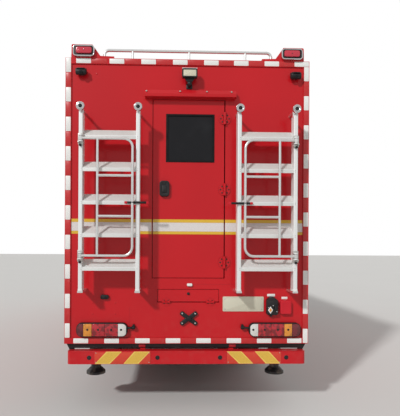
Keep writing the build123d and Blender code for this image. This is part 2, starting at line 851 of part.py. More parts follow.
def rear_hatch():
    """The flap under the door, hinged along its lower edge."""
    hatch = block(*hatch_x, wall_face_y, wall_face_y + hatch_thick, *hatch_z)
    for plane in hatch_hinges():
        hatch += plane * hinge_moving(flap_hinge)
    return hatch


def side_wall(sign):
    inner, outer = sign * wall_inner_x, sign * body_half
    wall = block(inner, outer, side_rear_y, box_front_y, subframe_top_z, wall_top_z)
    for side, low_y, high_y in side_windows:
        if side == sign:
            wall -= rounded_side(low_y, high_y, *side_window_z, window_radius,
                                 sign * (wall_inner_x - 10), sign * (body_half + 10))
    if sign > 0:
        wall -= block(wall_inner_x - 10, body_half + 10, side_door_y[0] - door_gap,
                      side_door_y[1] + door_gap, side_door_z[0] - door_gap, side_door_z[1] + door_gap)
        for plane in side_door_hinges():
            wall += plane * hinge_fixed(door_hinge)
    return wall


def box_windows():
    panes = []
    for side, low_y, high_y in side_windows:
        gap = face_gap
        outer = body_half - glass_inset
        panes.append(rounded_side(
            low_y + gap, high_y - gap, side_window_z[0] + gap, side_window_z[1] - gap,
            window_radius - gap, side * (outer - glass_thick), side * outer))
    return apart(panes)


def side_door():
    door = block(body_half - door_thick, body_half, *side_door_y, *side_door_z)
    for plane in side_door_hinges():
        door += plane * hinge_moving(door_hinge)
    return door


def box_roof():
    roof = block(-body_half, body_half, side_rear_y, box_front_y, wall_top_z, body_top_z)
    ridge = roof.edges().filter_by(Axis.Y).group_by(Axis.Z)[-1]
    return fillet(ridge, roof_edge_radius)


def rear_edge_frame():
    """The proud frame round the rear wall."""
    outer = block(-body_half, body_half, rear_y, side_rear_y, skirt_bottom_z, body_top_z)
    inner = block(-wall_inner_x, wall_inner_x, rear_y - 1, side_rear_y + 1,
                  skirt_bottom_z + edge_band, wall_top_z)
    return outer - inner


floor_panel = block(-wall_inner_x, wall_inner_x, wall_face_y + wall_thick,
                    box_front_y - wall_thick, bearer_top_z, floor_top_z)
nodes["box_floor"] = apart([floor_panel, *subframe()])
nodes["box_roof"] = box_roof()
nodes["box_left_wall"] = side_wall(-1)
nodes["box_right_wall"] = side_wall(1)
nodes["box_front_wall"] = block(-wall_inner_x, wall_inner_x, box_front_y - wall_thick, box_front_y,
                                subframe_top_z, wall_top_z)
nodes["box_rear_wall"] = rear_wall()
nodes["box_windows"] = box_windows()
nodes["rear_door"] = rear_door()
nodes["rear_door_glass"] = rear_door_glass()
nodes["rear_hatch"] = rear_hatch()
nodes["side_door"] = side_door()

# Skirts: locker boxes before and behind the rear wheel, joined by the arch panel
locker_depth_x = 700.0
locker_wall = 20.0
panel_thick = 20.0
arch_radius = 600.0
arch_wall = 12.0
arch_inner_x = 590.0
arch_half = 640.0
front_locker_y = (rear_axle_y + arch_half, box_front_y - 1570)
rear_locker_y = (rear_y + 470, rear_axle_y - arch_half)
locker_margin = 50.0
flap_thick = 25.0
flap_hinge_inset = 220.0


def locker_opening(span_y):
    return (span_y[0] + locker_margin, span_y[1] - locker_margin)


locker_opening_z = (skirt_bottom_z + locker_margin, subframe_top_z - locker_margin + 10)


def right_skirt():
    panel = block(body_half - panel_thick, body_half, side_rear_y, front_locker_y[1],
                  skirt_bottom_z, subframe_top_z)
    pieces = panel
    for low_y, high_y in (front_locker_y, rear_locker_y):
        case = block(locker_depth_x, body_half - 5, low_y, high_y, skirt_bottom_z, subframe_top_z)
        hollow = block(locker_depth_x + locker_wall, body_half + 5, low_y + locker_wall,
                       high_y - locker_wall, skirt_bottom_z + locker_wall, subframe_top_z - locker_wall)
        pieces += case - hollow
    arch = rod((arch_inner_x, rear_axle_y, tyre_radius), (body_half + 1, rear_axle_y, tyre_radius),
               arch_radius + arch_wall)
    arch -= rod((arch_inner_x - 1, rear_axle_y, tyre_radius), (body_half + 2, rear_axle_y, tyre_radius),
                arch_radius)
    arch &= block(arch_inner_x, body_half, rear_axle_y - arch_half, rear_axle_y + arch_half,
                  skirt_bottom_z, subframe_top_z)
    pieces += arch
    pieces -= rod((body_half - panel_thick - 1, rear_axle_y, tyre_radius),
                  (body_half + 1, rear_axle_y, tyre_radius), arch_radius)
    for span in (front_locker_y, rear_locker_y):
        low_y, high_y = locker_opening(span)
        pieces -= block(body_half - panel_thick - 15, body_half + 1, low_y, high_y, *locker_opening_z)
        for plane in flap_hinges(span):
            pieces += plane * hinge_fixed(flap_hinge)
    return pieces


def flap_hinges(span_y):
    low_y, high_y = locker_opening(span_y)
    z = locker_opening_z[1] - flap_gap / 2
    stations = (low_y + flap_hinge_inset, high_y - flap_hinge_inset)
    return [hinge_plane((body_half, y, z), flap_hinge, (0, 0, 1), (0, -1, 0)) for y in stations]


def locker_flap(span_y):
    low_y, high_y = locker_opening(span_y)
    flap = block(body_half - flap_thick, body_half, low_y + flap_gap, high_y - flap_gap,
                 locker_opening_z[0] + flap_gap, locker_opening_z[1] - flap_gap)
    for plane in flap_hinges(span_y):
        flap += plane * hinge_moving(flap_hinge)
    return flap


skirt = right_skirt()
for place, span in (("front", front_locker_y), ("rear", rear_locker_y)):
    flap = locker_flap(span)
    nodes[f"locker_flap_{place}_right"] = flap
    nodes[f"locker_flap_{place}_left"] = other_side(flap)

# Steps under the side door
step_x = (1010.0, 1240.0)
step_treads_z = (700.0, 1010.0)
step_thick = 35.0
step_cheek = 20.0


def side_steps():
    near, far = step_x
    low_y, high_y = side_door_y
    pieces = []
    for y in (low_y, high_y - step_cheek):
        outline = [
            (near, subframe_top_z), (near, step_treads_z[0]), (far, step_treads_z[0]),
            (far, step_treads_z[0] + 80), (near + 90, subframe_top_z),
        ]
        pieces.append(prism_xz(outline, y, y + step_cheek))
    pieces.append(block(near, far, low_y, high_y, step_treads_z[0], step_treads_z[0] + step_thick))
    pieces.append(block(near, near + 150, low_y, high_y, step_treads_z[1], step_treads_z[1] + step_thick))
    pieces.append(block(near, far, low_y, high_y, subframe_top_z - step_cheek, subframe_top_z))
    return fused(pieces)


nodes["skirts"] = apart([skirt, other_side(skirt), side_steps()])

# Ladders hung on the rear wall: two stiles and tilted treads
ladder_x = (475.0, 1067.0)
ladder_z = (1244.0, 2985.0)
ladder_back_y = rear_y - 230.0
stile_depth = 100.0
stile_width = 40.0
stile_radius = 8.0
stile_slope = 24.0
tread_lip_z = (1438.0, 1762.0, 2079.0, 2400.0, 2714.0)
tread_lip_height = 34.0
tread_rise = 76.0
tread_thick = 10.0
rail_plane_y = ladder_back_y - 30.0
rail_tube_radius = 12.5
handrail_hinge_x = 1040.0
handrail_free_x = 545.0
handrail_post_x = 880.0
handrail_top_z = 2710.0
handrail_low_z = 1585.0
handrail_bar_z = (1965.0, 2355.0)
handrail_bend = 85.0
handrail_eye_radius = 18.0
handrail_eye_height = 36.0
handrail_pin_radius = 8.0
jaw_gap = 6.0
jaw_thick = 10.0
hook_x = (495.0, 1047.0)
hook_z = 3020.0
hook_rod_radius = 12.0
hook_plate_thick = 14.0
hook_tab_radius = 20.0
hook_knob_radius = 40.0
hook_knob_depth = 28.0
rest_thick = 20.0


def ladder():
    near, far = ladder_x
    front = ladder_back_y + stile_depth
    pieces = []
    for x in (near, far - stile_width):
        outline = RectangleRounded(stile_width, stile_depth, stile_radius)
        stile = extrude(outline, ladder_z[1] - ladder_z[0])
        stile = Pos(x + stile_width / 2, ladder_back_y + stile_depth / 2, ladder_z[0]) * stile
        outer, inner = (x, x + stile_width) if x == near else (x + stile_width, x)
        slope = [(outer, ladder_z[1]), (inner, ladder_z[1]), (inner, ladder_z[1] - stile_slope)]
        pieces.append(stile - prism_xz(slope, ladder_back_y - 1, front + 1))
    for lip_z in tread_lip_z:
        outline = [
            (ladder_back_y + 4, lip_z), (ladder_back_y + 4, lip_z + tread_lip_height),
            (front + 10, lip_z + tread_lip_height + tread_rise),
            (front + 10, lip_z + tread_lip_height + tread_rise - tread_thick),
            (ladder_back_y + 4 + tread_thick, lip_z + tread_lip_height - tread_thick),
            (ladder_back_y + 4 + tread_thick, lip_z),
        ]
        pieces.append(prism_yz(outline, near + stile_width - 4, far - stile_width + 4))
    for x in hook_x:
        low_y, high_y = front - 60, front - 60 + hook_plate_thick
        plate = block(x - hook_tab_radius, x + hook_tab_radius, low_y, high_y, ladder_z[1] - 20, hook_z)
        plate = plate + rod((x, low_y, hook_z), (x, high_y, hook_z), hook_tab_radius)
        pieces.append(plate - rod((x, low_y - 1, hook_z), (x, high_y + 1, hook_z), hook_rod_radius + run_fit))
    for z in (handrail_top_z, handrail_low_z):
        for side in (-1, 1):
            jaw_z = z + side * (handrail_eye_height / 2 + jaw_gap + jaw_thick / 2)
            jaw = block(handrail_hinge_x - 20, handrail_hinge_x + 20, rail_plane_y, ladder_back_y + 5,
                        jaw_z - jaw_thick / 2, jaw_z + jaw_thick / 2)
            jaw += Pos(handrail_hinge_x, rail_plane_y, jaw_z) * Cylinder(20, jaw_thick)
            pieces.append(jaw)
        span = handrail_eye_height + 2 * jaw_gap + 2 * jaw_thick
        pieces.append(Pos(handrail_hinge_x, rail_plane_y, z) * Cylinder(handrail_pin_radius, span))
    return fused(pieces)


def tube_along(points, bend, radius):
    """A bent tube along straight runs with equal bends."""
    path = FilletPolyline(*points, radius=bend)
    start = path % 0
    section = Plane(origin=path @ 0, z_dir=start) * Circle(radius)
    return sweep(section, path=path)


def handrail():
    y = rail_plane_y
    hoop = tube_along(
        [
            (handrail_hinge_x, y, handrail_top_z), (handrail_free_x, y, handrail_top_z),
            (handrail_free_x, y, handrail_low_z), (handrail_hinge_x, y, handrail_low_z),
        ],
        handrail_bend, rail_tube_radius,
    )
    rail = hoop + rod((handrail_post_x, y, handrail_low_z), (handrail_post_x, y, handrail_top_z),
                      rail_tube_radius)
    for z in handrail_bar_z:
        rail += rod((handrail_free_x, y, z), (handrail_post_x, y, z), rail_tube_radius)
    for z in (handrail_top_z, handrail_low_z):
        place = Pos(handrail_hinge_x, y, z)
        rail += place * Cylinder(handrail_eye_radius, handrail_eye_height)
        rail -= place * Cylinder(handrail_pin_radius + run_fit, handrail_eye_height * 1.2)
    return rail


def ladder_hooks():
    """Rods with knobs and rests on the rear wall that carry the right ladder."""
    pieces = []
    knob_y = ladder_back_y - 4
    for x in hook_x:
        hook = rod((x, wall_face_y, hook_z), (x, knob_y, hook_z), hook_rod_radius)
        hook += rod((x, knob_y, hook_z), (x, knob_y - hook_knob_depth, hook_z), hook_knob_radius)
        pieces.append(hook)
        pieces.append(block(x - 26, x + 26, ladder_back_y, wall_face_y, ladder_z[0] - rest_thick, ladder_z[0]))
    return pieces


right_ladder = ladder()
right_handrail = handrail()
nodes["ladders"] = apart([right_ladder, other_side(right_ladder)])
nodes["handrail_right"] = right_handrail
nodes["handrail_left"] = other_side(right_handrail)

right_hooks = ladder_hooks()
nodes["ladder_hooks"] = apart(right_hooks + [other_side(hook) for hook in right_hooks])

# Rear roof corners: fairings, beacons and the guard rail between them
# distance in from the body's side, height over the roof
fairing_outline = (
    (492.0, 0.0), (492.0, 18.0), (352.0, 22.0), (271.0, 136.0), (66.0, 136.0), (60.0, 126.0), (58.0, 0.0),
)
fairing_length = 420.0
beacon_x = (body_half - 288, body_half - 88)
beacon_z = (body_top_z + 22, body_top_z + 110)
beacon_depth = 28.0
guard_rail_z = body_top_z + 105
guard_rail_x = body_half - 388
guard_rail_y = rear_y + 60.0
guard_rail_radius = 15.0
guard_rail_bend = 45.0
guard_post_x = (-574.0, 10.0, 594.0)
side_rail_x = body_half - 37
side_rail_y = (rear_y + 120.0, box_front_y - 390)
side_rail_z = body_top_z + 100
side_rail_radius = 11.0
side_rail_posts = 4


def fairing():
    outline = [(body_half - inset, body_top_z + rise) for inset, rise in fairing_outline]
    return prism_xz(outline, rear_y, rear_y + fairing_length)


def beacon():
    return rounded_panel(*beacon_x, *beacon_z, 16, rear_y - beacon_depth, rear_y)


def guard_rail():
    foot_z = body_top_z + fairing_outline[1][1] + 4
    rail = tube_along(
        [
            (-guard_rail_x, guard_rail_y, foot_z), (-guard_rail_x, guard_rail_y, guard_rail_z),
            (guard_rail_x, guard_rail_y, guard_rail_z), (guard_rail_x, guard_rail_y, foot_z),
        ],
        guard_rail_bend, guard_rail_radius,
    )
    for x in guard_post_x:
        rail += rod((x, guard_rail_y, body_top_z), (x, guard_rail_y, guard_rail_z), guard_rail_radius - 3)
    return rail


def side_rail():
    """The low rail along one edge of the roof."""
    low_y, high_y = side_rail_y
    x = side_rail_x
    rail = tube_along(
        [(x, low_y, body_top_z), (x, low_y, side_rail_z), (x, high_y, side_rail_z), (x, high_y, body_top_z)],
        guard_rail_bend, side_rail_radius,
    )
    for index in range(side_rail_posts):
        y = low_y + (high_y - low_y) * (index + 1) / (side_rail_posts + 1)
        rail += rod((x, y, body_top_z), (x, y, side_rail_z), side_rail_radius - 2)
    return rail


right_fairing = fairing()
right_beacon = beacon()
nodes["rear_edge_frame"] = rear_edge_frame() + right_fairing + other_side(right_fairing)
right_side_rail = side_rail()
nodes["guard_rail"] = apart([guard_rail(), right_side_rail, other_side(right_side_rail)])

# Rear wall fittings
# low x, high x, low z, high z, corner radius and depth; the high cases hang below the roof's height
lamp_housings = (
    (-body_half + 103, -body_half + 638, 752.0, 886.0, 50.0, 52.0),
    (body_half - 607, body_half - 87, 752.0, 886.0, 50.0, 52.0),
)
camera_cases = (
    (-body_half + 85, -body_half + 198, body_top_z - 165, body_top_z - 73, 22.0, 80.0),
    (body_half - 190, body_half - 77, body_top_z - 170, body_top_z - 78, 22.0, 80.0),
    (-60.0, 98.0, body_top_z - 168, body_top_z - 64, 14.0, 120.0),
)
socket_cases = (
    (body_half - 443, body_half - 325, 974.0, 1160.0, 12.0, 55.0),
    (body_half - 301, body_half - 187, 980.0, 1139.0, 24.0, 50.0),
    (-80.0, 107.0, 855.0, 1006.0, 6.0, 30.0),
    (-body_half + 355, -body_half + 446, 1129.0, 1186.0, 10.0, 30.0),
)


def wall_cases(rows):
    """Rounded cases that stand on the rear wall."""
    return apart([
        rounded_panel(low_x, high_x, low_z, high_z, radius, wall_face_y - depth, wall_face_y)
        for low_x, high_x, low_z, high_z, radius, depth in rows
    ])


nodes["rear_lamps"] = apart([wall_cases(lamp_housings), right_beacon, other_side(right_beacon)])
nodes["rear_fittings"] = apart([wall_cases(camera_cases), wall_cases(socket_cases)])

# Cab shell: three outlines crossed, hollowed by the same form set inwards
windscreen_top_y = cab_front_y - 230.0
roof_front_y = cab_front_y - 400.0
cab_roof_half = 1040.0
cab_corner_radius = 170.0
cab_edge_radius = 90.0
nose_thick = 60.0
cab_floor_thick = 45.0
tunnel_half = 420.0
tunnel_roof_z = cab_floor_z + 250
tunnel_front_y = cab_front_y - 440.0
door_front_y = cab_front_y - 290.0
door_rear_y = cab_front_y - 1390.0
cab_door_top_z = cab_roof_z - 160
cab_door_low_z = cab_floor_z
cab_hinge_z = (1380.0, 1800.0)
cab_seam_z = cab_door_top_z + 10   # between the cab's walls and its roof
pillar_top_y = cab_front_y - 480.0
window_low_z = cab_belt_z + 30
window_top_z = cab_door_top_z - 80
screen_half = 1000.0
screen_z = (cab_belt_z + 60, cab_roof_z - 190)
rear_window_y = (cab_rear_y + 170.0, door_rear_y - 110.0)


def cab_form(inset):
    """The cab's outside, or the same form set in on every side."""
    front = cab_front_y - inset
    low_z = cab_floor_z + (cab_floor_thick if inset else 0.0)
    side = [
        (cab_rear_y + inset, low_z), (front, low_z), (front, cab_belt_z),
        (windscreen_top_y - inset, cab_roof_z - 150 - inset), (roof_front_y, cab_roof_z - inset),
        (cab_rear_y + inset, cab_roof_z - inset),
    ]
    side_face = make_face(Polyline(*side, close=True))
    roof_rear = side_face.vertices().group_by(Axis.X)[0].sort_by(Axis.Y)[-1]
    profile = Plane.YZ * fillet(roof_rear, cab_edge_radius - inset)
    body = Pos(-cab_half, 0, 0) * extrude(profile, cab_width)
    half = cab_half - inset
    top_half = cab_roof_half - inset
    front_outline = [
        (-half, low_z - 400), (half, low_z - 400), (half, cab_belt_z + 60), (top_half + 40, cab_roof_z - 130 - inset),
        (top_half - 60, cab_roof_z - inset), (-top_half + 60, cab_roof_z - inset),
        (-top_half - 40, cab_roof_z - 130 - inset), (-half, cab_belt_z + 60),
    ]
    body &= prism_xz(front_outline, cab_rear_y, cab_front_y)
    plan = make_face(Polyline(
        (-half, cab_rear_y - 10), (half, cab_rear_y - 10), (half, front), (-half, front), close=True))
    plan = fillet(plan.vertices().group_by(Axis.Y)[-1], cab_corner_radius - inset * 0.6)
    body &= Pos(0, 0, cab_nose_z - 10) * extrude(plan, cab_roof_z)
    return body


def nose_panel():
    """The panel below the cab floor's front edge, down to the bumper."""
    half = cab_half
    shapes = []
    for inset in (0.0, nose_thick):
        plan = make_face(Polyline(
            (-half + inset, cab_front_y - 260), (half - inset, cab_front_y - 260),
            (half - inset, cab_front_y - inset), (-half + inset, cab_front_y - inset), close=True))
        plan = fillet(plan.vertices().group_by(Axis.Y)[-1], cab_corner_radius - inset * 0.6)
        shapes.append(Pos(0, 0, cab_nose_z) * extrude(plan, cab_floor_z - cab_nose_z + 10))
    outer, inner = shapes
    inner &= block(-cab_half, cab_half, front_y - 2000, front_y, cab_nose_z - 10, cab_floor_z)
    panel = outer - inner
    return panel & block(-cab_half, cab_half, cab_front_y - 120, cab_front_y, cab_nose_z, cab_floor_z + 10)


cab_outer = cab_form(0.0)
cab_inner = cab_form(cab_wall)


def cab_door_outline(grow):
    """The door's outline seen from the side, wider by the given gap."""
    return [
        (door_rear_y - grow, cab_door_low_z - 20), (door_front_y + grow, cab_door_low_z - 20),
        (door_front_y + grow, cab_belt_z + 40), (pillar_top_y + grow, cab_door_top_z + grow),
        (door_rear_y - grow, cab_door_top_z + grow),
    ]


def cab_window_outline(grow):
    return [
        (door_rear_y + 90 - grow, window_low_z - grow), (door_front_y - 95 + grow, window_low_z - grow),
        (pillar_top_y - 75 + grow, window_top_z + grow), (door_rear_y + 90 - grow, window_top_z + grow),
    ]


def cab_door_hinges():
    y = door_front_y - door_gap / 2
    return [hinge_plane((cab_half, y, z), door_hinge, (0, 1, 0), (0, 0, 1)) for z in cab_hinge_z]


def tunnel():
    """The raised cover over the engine, open at the rear and below."""
    cover = block(-tunnel_half, tunnel_half, cab_rear_y, tunnel_front_y, cab_floor_z, tunnel_roof_z)
    return cover - block(-tunnel_half + 25, tunnel_half - 25, cab_rear_y - 1, tunnel_front_y - 25,
                         cab_floor_z - 2, tunnel_roof_z - 25)


def tilt_eye(sign):
    """The eye under the nose that turns on the chassis's tilt pin."""
    middle = sign * (pivot_ear_x[0] + pivot_ear_x[1]) / 2
    half = (pivot_ear_x[1] - pivot_ear_x[0]) / 2 - pivot_ear_thick - 3
    eye = block(middle - half, middle + half, pivot_y, cab_front_y - nose_thick + 5,
                cab_nose_z, cab_nose_z + 35)
    eye += rod((middle - half, pivot_y, pivot_z), (middle + half, pivot_y, pivot_z), pivot_ear_radius)
    eye += block(middle - half, middle + half, pivot_y, pivot_y + 24, pivot_z, cab_nose_z + 10)
    return eye - rod((middle - half * 2, pivot_y, pivot_z), (middle + half * 2, pivot_y, pivot_z),
                     pivot_pin_radius + run_fit)


def cab_walls():
    """The hollow cab with its doorways and windows cut, before it is parted into panels."""
    shell = cab_outer - cab_inner + nose_panel()
    shell -= block(-tunnel_half - face_gap, tunnel_half + face_gap, cab_rear_y - 1,
                   tunnel_front_y + face_gap, cab_floor_z - 1, tunnel_roof_z + face_gap)
    deck_z = cab_floor_z + cab_floor_thick
    for sign in (1, -1):
        doorway = prism_yz(cab_door_outline(0.0), sign * (tunnel_half + 200), sign * (cab_half + 20))
        floor_edge = sign * (cab_half - cab_wall - door_gap)
        shell -= doorway - block(sign * tunnel_half, floor_edge, cab_rear_y, front_y, cab_nose_z, deck_z)
        low_y, high_y = rear_window_y
        shell -= rounded_side(low_y, high_y, window_low_z + 60, window_top_z - 20, 40,
                              sign * (tunnel_half + 200), sign * (cab_half + 20))
    return shell - rounded_panel(-screen_half, screen_half, *screen_z, 80, cab_front_y - 520, cab_front_y + 20)


def cab_shell():
    """Floor with the nose, tunnel, back panel, rear sides, front and roof, a hair apart."""
    walls = cab_walls()
    reach = cab_half + 50
    deck_z = cab_floor_z + cab_floor_thick
    seam_y = cab_rear_y + cab_wall
    middle_y = (door_front_y + door_rear_y) / 2
    floor = walls & block(-reach, reach, cab_rear_y - 50, front_y, cab_nose_z - 50, deck_z)
    back = walls & block(-reach, reach, cab_rear_y - 50, seam_y, deck_z + face_gap, cab_roof_z + 50)
    sides = walls & block(-reach, reach, seam_y + face_gap, middle_y, deck_z + face_gap, cab_seam_z)
    front = walls & block(-reach, reach, middle_y, front_y, deck_z + face_gap, cab_seam_z)
    roof = walls & block(-reach, reach, seam_y + face_gap, front_y, cab_seam_z + face_gap, cab_roof_z + 50)
    for sign in (1, -1):
        floor += tilt_eye(sign)
    for plane in cab_door_hinges():
        leaf = plane * hinge_fixed(door_hinge)
        front = front + leaf + other_side(leaf)
    return apart([floor, tunnel(), back, sides, front, roof])


def cab_skin(depth, thick):
    """A thin layer of the cab's form at a depth below its outside."""
    return cab_form(depth) - cab_form(depth + thick)


def cab_door():
    wall = cab_outer - cab_inner
    door = wall & prism_yz(cab_door_outline(-door_gap), cab_half - pane_reach, cab_half + 20)
    door &= block(-cab_half - 20, cab_half + 20, door_rear_y, door_front_y,
                  cab_door_low_z + door_gap, cab_roof_z)
    door -= block(0, cab_half - cab_wall, cab_rear_y, front_y, cab_nose_z, cab_floor_z + cab_floor_thick)
    door -= prism_yz(cab_window_outline(0.0), cab_half - 350, cab_half + 20)
    for plane in cab_door_hinges():
        door += plane * hinge_moving(door_hinge)
    return door


def cab_glass():
    skin = cab_skin(glass_inset + 6, glass_thick)
    gap = face_gap
    screen = skin & rounded_panel(-screen_half + gap, screen_half - gap, screen_z[0] + gap, screen_z[1] - gap,
                                  80 - gap, cab_front_y - 520, cab_front_y + 20)
    panes = [screen]
    low_y, high_y = rear_window_y
    for sign in (1, -1):
        panes.append(skin & rounded_side(low_y + gap, high_y - gap, window_low_z + 60 + gap, window_top_z - 20 - gap,
                                         40 - gap, sign * (cab_half - pane_reach), sign * (cab_half + 20)))
    return apart(panes)


def cab_door_glass():
    skin = cab_skin(glass_inset + 6, glass_thick)
    return skin & prism_yz(cab_window_outline(-face_gap), cab_half - pane_reach, cab_half + 20)


nodes["cab_shell"] = cab_shell()
nodes["cab_glass"] = cab_glass()
right_cab_door = cab_door()
right_cab_glass = cab_door_glass()
nodes["cab_door_right"] = right_cab_door
nodes["cab_door_left"] = other_side(right_cab_door)
nodes["cab_door_glass_right"] = right_cab_glass
nodes["cab_door_glass_left"] = other_side(right_cab_glass)

# Front bumper: a wrapped shell with lamp recesses, and a step housing behind each end
front_bumper_half = 1180.0
front_bumper_z = (400.0, 780.0)
front_bumper_corner = 150.0
front_bumper_thick = 50.0
front_bumper_depth = 150.0
lamp_x = (640.0, 1010.0)
lamp_z = (540.0, 680.0)
lamp_depth = 42.0
jaw_hole_half = 110.0
jaw_hole_z = (520.0, 700.0)
step_housing_x = (790.0, 1140.0)
step_housing_y = (front_axle_y + 660.0, front_y - 190.0)
step_housing_z = (430.0, 1175.0)
step_pocket_z = ((470.0, 770.0), (810.0, 1120.0))
step_pocket_margin = 45.0
step_pocket_depth = 210.0


def front_bumper():
    low_z, high_z = front_bumper_z
    shapes = []
    for inset in (0.0, front_bumper_thick):
        half = front_bumper_half - inset
        plan = make_face(Polyline(
            (-half, front_y - 400), (half, front_y - 400),
            (half, front_y - inset), (-half, front_y - inset), close=True))
        plan = fillet(plan.vertices().group_by(Axis.Y)[-1], front_bumper_corner - inset)
        shapes.append(Pos(0, 0, low_z) * extrude(plan, high_z - low_z))
    shell = shapes[0] - shapes[1]
    shell &= block(-body_half, body_half, front_y - front_bumper_depth, front_y, low_z, high_z)
    for sign in (1, -1):
        shell -= block(sign * lamp_x[0], sign * lamp_x[1], front_y - lamp_depth, front_y + 10, *lamp_z)
    shell -= block(-jaw_hole_half, jaw_hole_half, front_y - 100, front_y + 10, *jaw_hole_z)
    for sign in (1, -1):
        shell += step_housing(sign)
    return shell


def step_housing(sign):
    near, far = step_housing_x
    low_y, high_y = step_housing_y
    housing = block(sign * near, sign * far, low_y, high_y, *step_housing_z)
    for low_z, high_z in step_pocket_z:
        housing -= block(sign * (far - step_pocket_depth), sign * (far + 10), low_y + step_pocket_margin,
                         high_y - step_pocket_margin, low_z, high_z)
    bridge = block(sign * near, sign * far, high_y - 1, front_y - front_bumper_thick + 5, 480, 620)
    arm = block(sign * rail_outer_x, sign * (near + 5), high_y - 200, high_y - 120, 790, 880)
    return housing + bridge + arm


def headlamps():
    lamps = []
    for sign in (1, -1):
        x_pair = sorted((sign * (lamp_x[0] + 2), sign * (lamp_x[1] - 2)))
        lamps.append(rounded_panel(*x_pair, lamp_z[0] + 2, lamp_z[1] - 2, 18,
                                   front_y - lamp_depth, front_y - 6))
    return apart(lamps)


nodes["front_bumper"] = front_bumper()
nodes["headlamps"] = headlamps()

# Grille: a framed set of bars on the cab's front
grille_half = 560.0
grille_z = (1290.0, 1840.0)
grille_depth = 22.0
grille_frame = 34.0
grille_bars = 6
grille_bar_height = 34.0


def cab_grille():
    low_z, high_z = grille_z
    outer = rounded_panel(-grille_half, grille_half, low_z, high_z, 50, cab_front_y, cab_front_y + grille_depth)
    inner = rounded_panel(-grille_half + grille_frame, grille_half - grille_frame, low_z + grille_frame,
                          high_z - grille_frame, 30, cab_front_y - 1, cab_front_y + grille_depth + 1)
    grille = outer - inner
    pitch = (high_z - low_z - grille_frame) / (grille_bars + 1)
    for index in range(grille_bars):
        middle = low_z + grille_frame / 2 + pitch * (index + 1)
        outline = [
            (cab_front_y, middle - grille_bar_height / 2), (cab_front_y + grille_depth - 4, middle - 6),
            (cab_front_y + grille_depth - 4, middle + grille_bar_height / 2), (cab_front_y, middle + 12),
        ]
        grille += prism_yz(outline, -grille_half + 10, grille_half - 10)
    return grille


nodes["cab_grille"] = cab_grille()

# Cab interior: dashboard with the steering wheel, and two seats
cab_deck_z = cab_floor_z + cab_floor_thick
dash_depth = 380.0
dash_z = (1560.0, 1900.0)
wheel_ring_radius = 215.0
wheel_ring_thick = 15.0
wheel_tilt = 40.0
driver_x = -640.0
seat_rows = ((-640.0, 520.0), (640.0, 520.0))
seat_front_y = cab_front_y - 900.0
seat_depth = 500.0
seat_cushion_z = (1620.0, 1750.0)
seat_back_height = 780.0
seat_back_thick = 130.0


def dashboard():
    half = cab_half - cab_wall - 160
    low_z, high_z = dash_z
    inner_y = cab_front_y - cab_wall - face_gap
    outline = [
        (inner_y, low_z), (inner_y, high_z), (inner_y - 200, high_z), (inner_y - dash_depth, high_z - 120),
        (inner_y - dash_depth + 60, low_z),
    ]
    dash = prism_yz(outline, -half, half)
    column_start = (driver_x, inner_y - 300, high_z - 170)
    direction = Vector(0, -math.cos(math.radians(wheel_tilt)), math.sin(math.radians(wheel_tilt)))
    column_end = Vector(*column_start) + direction * 260
    dash += rod(column_start, tuple(column_end), 28)
    ring_plane = Plane(origin=tuple(column_end), z_dir=direction)
    dash += ring_plane * Torus(wheel_ring_radius, wheel_ring_thick)
    dash += ring_plane * Cylinder(55, 30)
    for angle in (0, 120, 240):
        tip = ring_plane * Rot(0, 0, angle + 30) * Pos(wheel_ring_radius / 2, 0, 0)
        dash += tip * Box(wheel_ring_radius - 6, 26, 12)
    return dash


def cab_seats():
    seats = []
    for x, width in seat_rows:
        low_z, high_z = seat_cushion_z
        rear = seat_front_y - seat_depth
        base = block(x - width / 2 + 60, x + width / 2 - 60, rear + 40, seat_front_y - 60, cab_deck_z, low_z)
        cushion = block(x - width / 2, x + width / 2, rear, seat_front_y, low_z, high_z)
        back = [
            (rear, low_z), (rear + seat_back_thick, low_z), (rear + seat_back_thick - 110, high_z + seat_back_height),
            (rear - 110, high_z + seat_back_height),
        ]
        seats.append(base + cushion + prism_yz(back, x - width / 2, x + width / 2))
    return apart(seats)


nodes["cab_interior"] = dashboard()
nodes["cab_seats"] = cab_seats()

# Mirrors on bent arms from the cab's front corners
mirror_x = (1230.0, 1400.0)
mirror_z = (1980.0, 2560.0)
mirror_y = (cab_front_y - 240.0, cab_front_y - 130.0)
mirror_arm_radius = 14.0


def door_mirror():
    low_y, high_y = mirror_y
    head = rounded_side(low_y, high_y, *mirror_z, 50, *mirror_x)
    for z in (mirror_z[0] + 70, mirror_z[1] - 170):
        middle_y = (low_y + high_y) / 2
        head += rod((cab_half - 70, middle_y - 12, z), (mirror_x[0] + 10, middle_y - 12, z), mirror_arm_radius)
    return head - cab_outer


right_mirror = door_mirror()
nodes["mirrors"] = apart([right_mirror, other_side(right_mirror)])

# Light bar on the cab roof
bar_half = 700.0
bar_y = (cab_front_y - 800.0, cab_front_y - 520.0)
bar_z = (cab_roof_z + 25.0, cab_roof_z + 140.0)


def light_bar():
    low_y, high_y = bar_y
    outline = RectangleRounded(2 * bar_half, high_y - low_y, 90)
    body = Pos(0, (low_y + high_y) / 2, bar_z[0]) * extrude(outline, bar_z[1] - bar_z[0])
    crown = body.edges().filter_by(lambda edge: edge.center().Z > bar_z[1] - 1)
    body = fillet(crown, 24)
    for sign in (1, -1):
        body += block(sign * bar_half * 0.6 - 40, sign * bar_half * 0.6 + 40, low_y + 60, high_y - 60,
                      cab_roof_z, bar_z[0] + 5)
    return body


nodes["light_bar"] = light_bar()

os.makedirs("parts", exist_ok=True)
for name, shape in nodes.items():
    export_step(shape, f"parts/{name}.step")
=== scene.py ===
import bpy
import math
from mathutils import Matrix, Vector


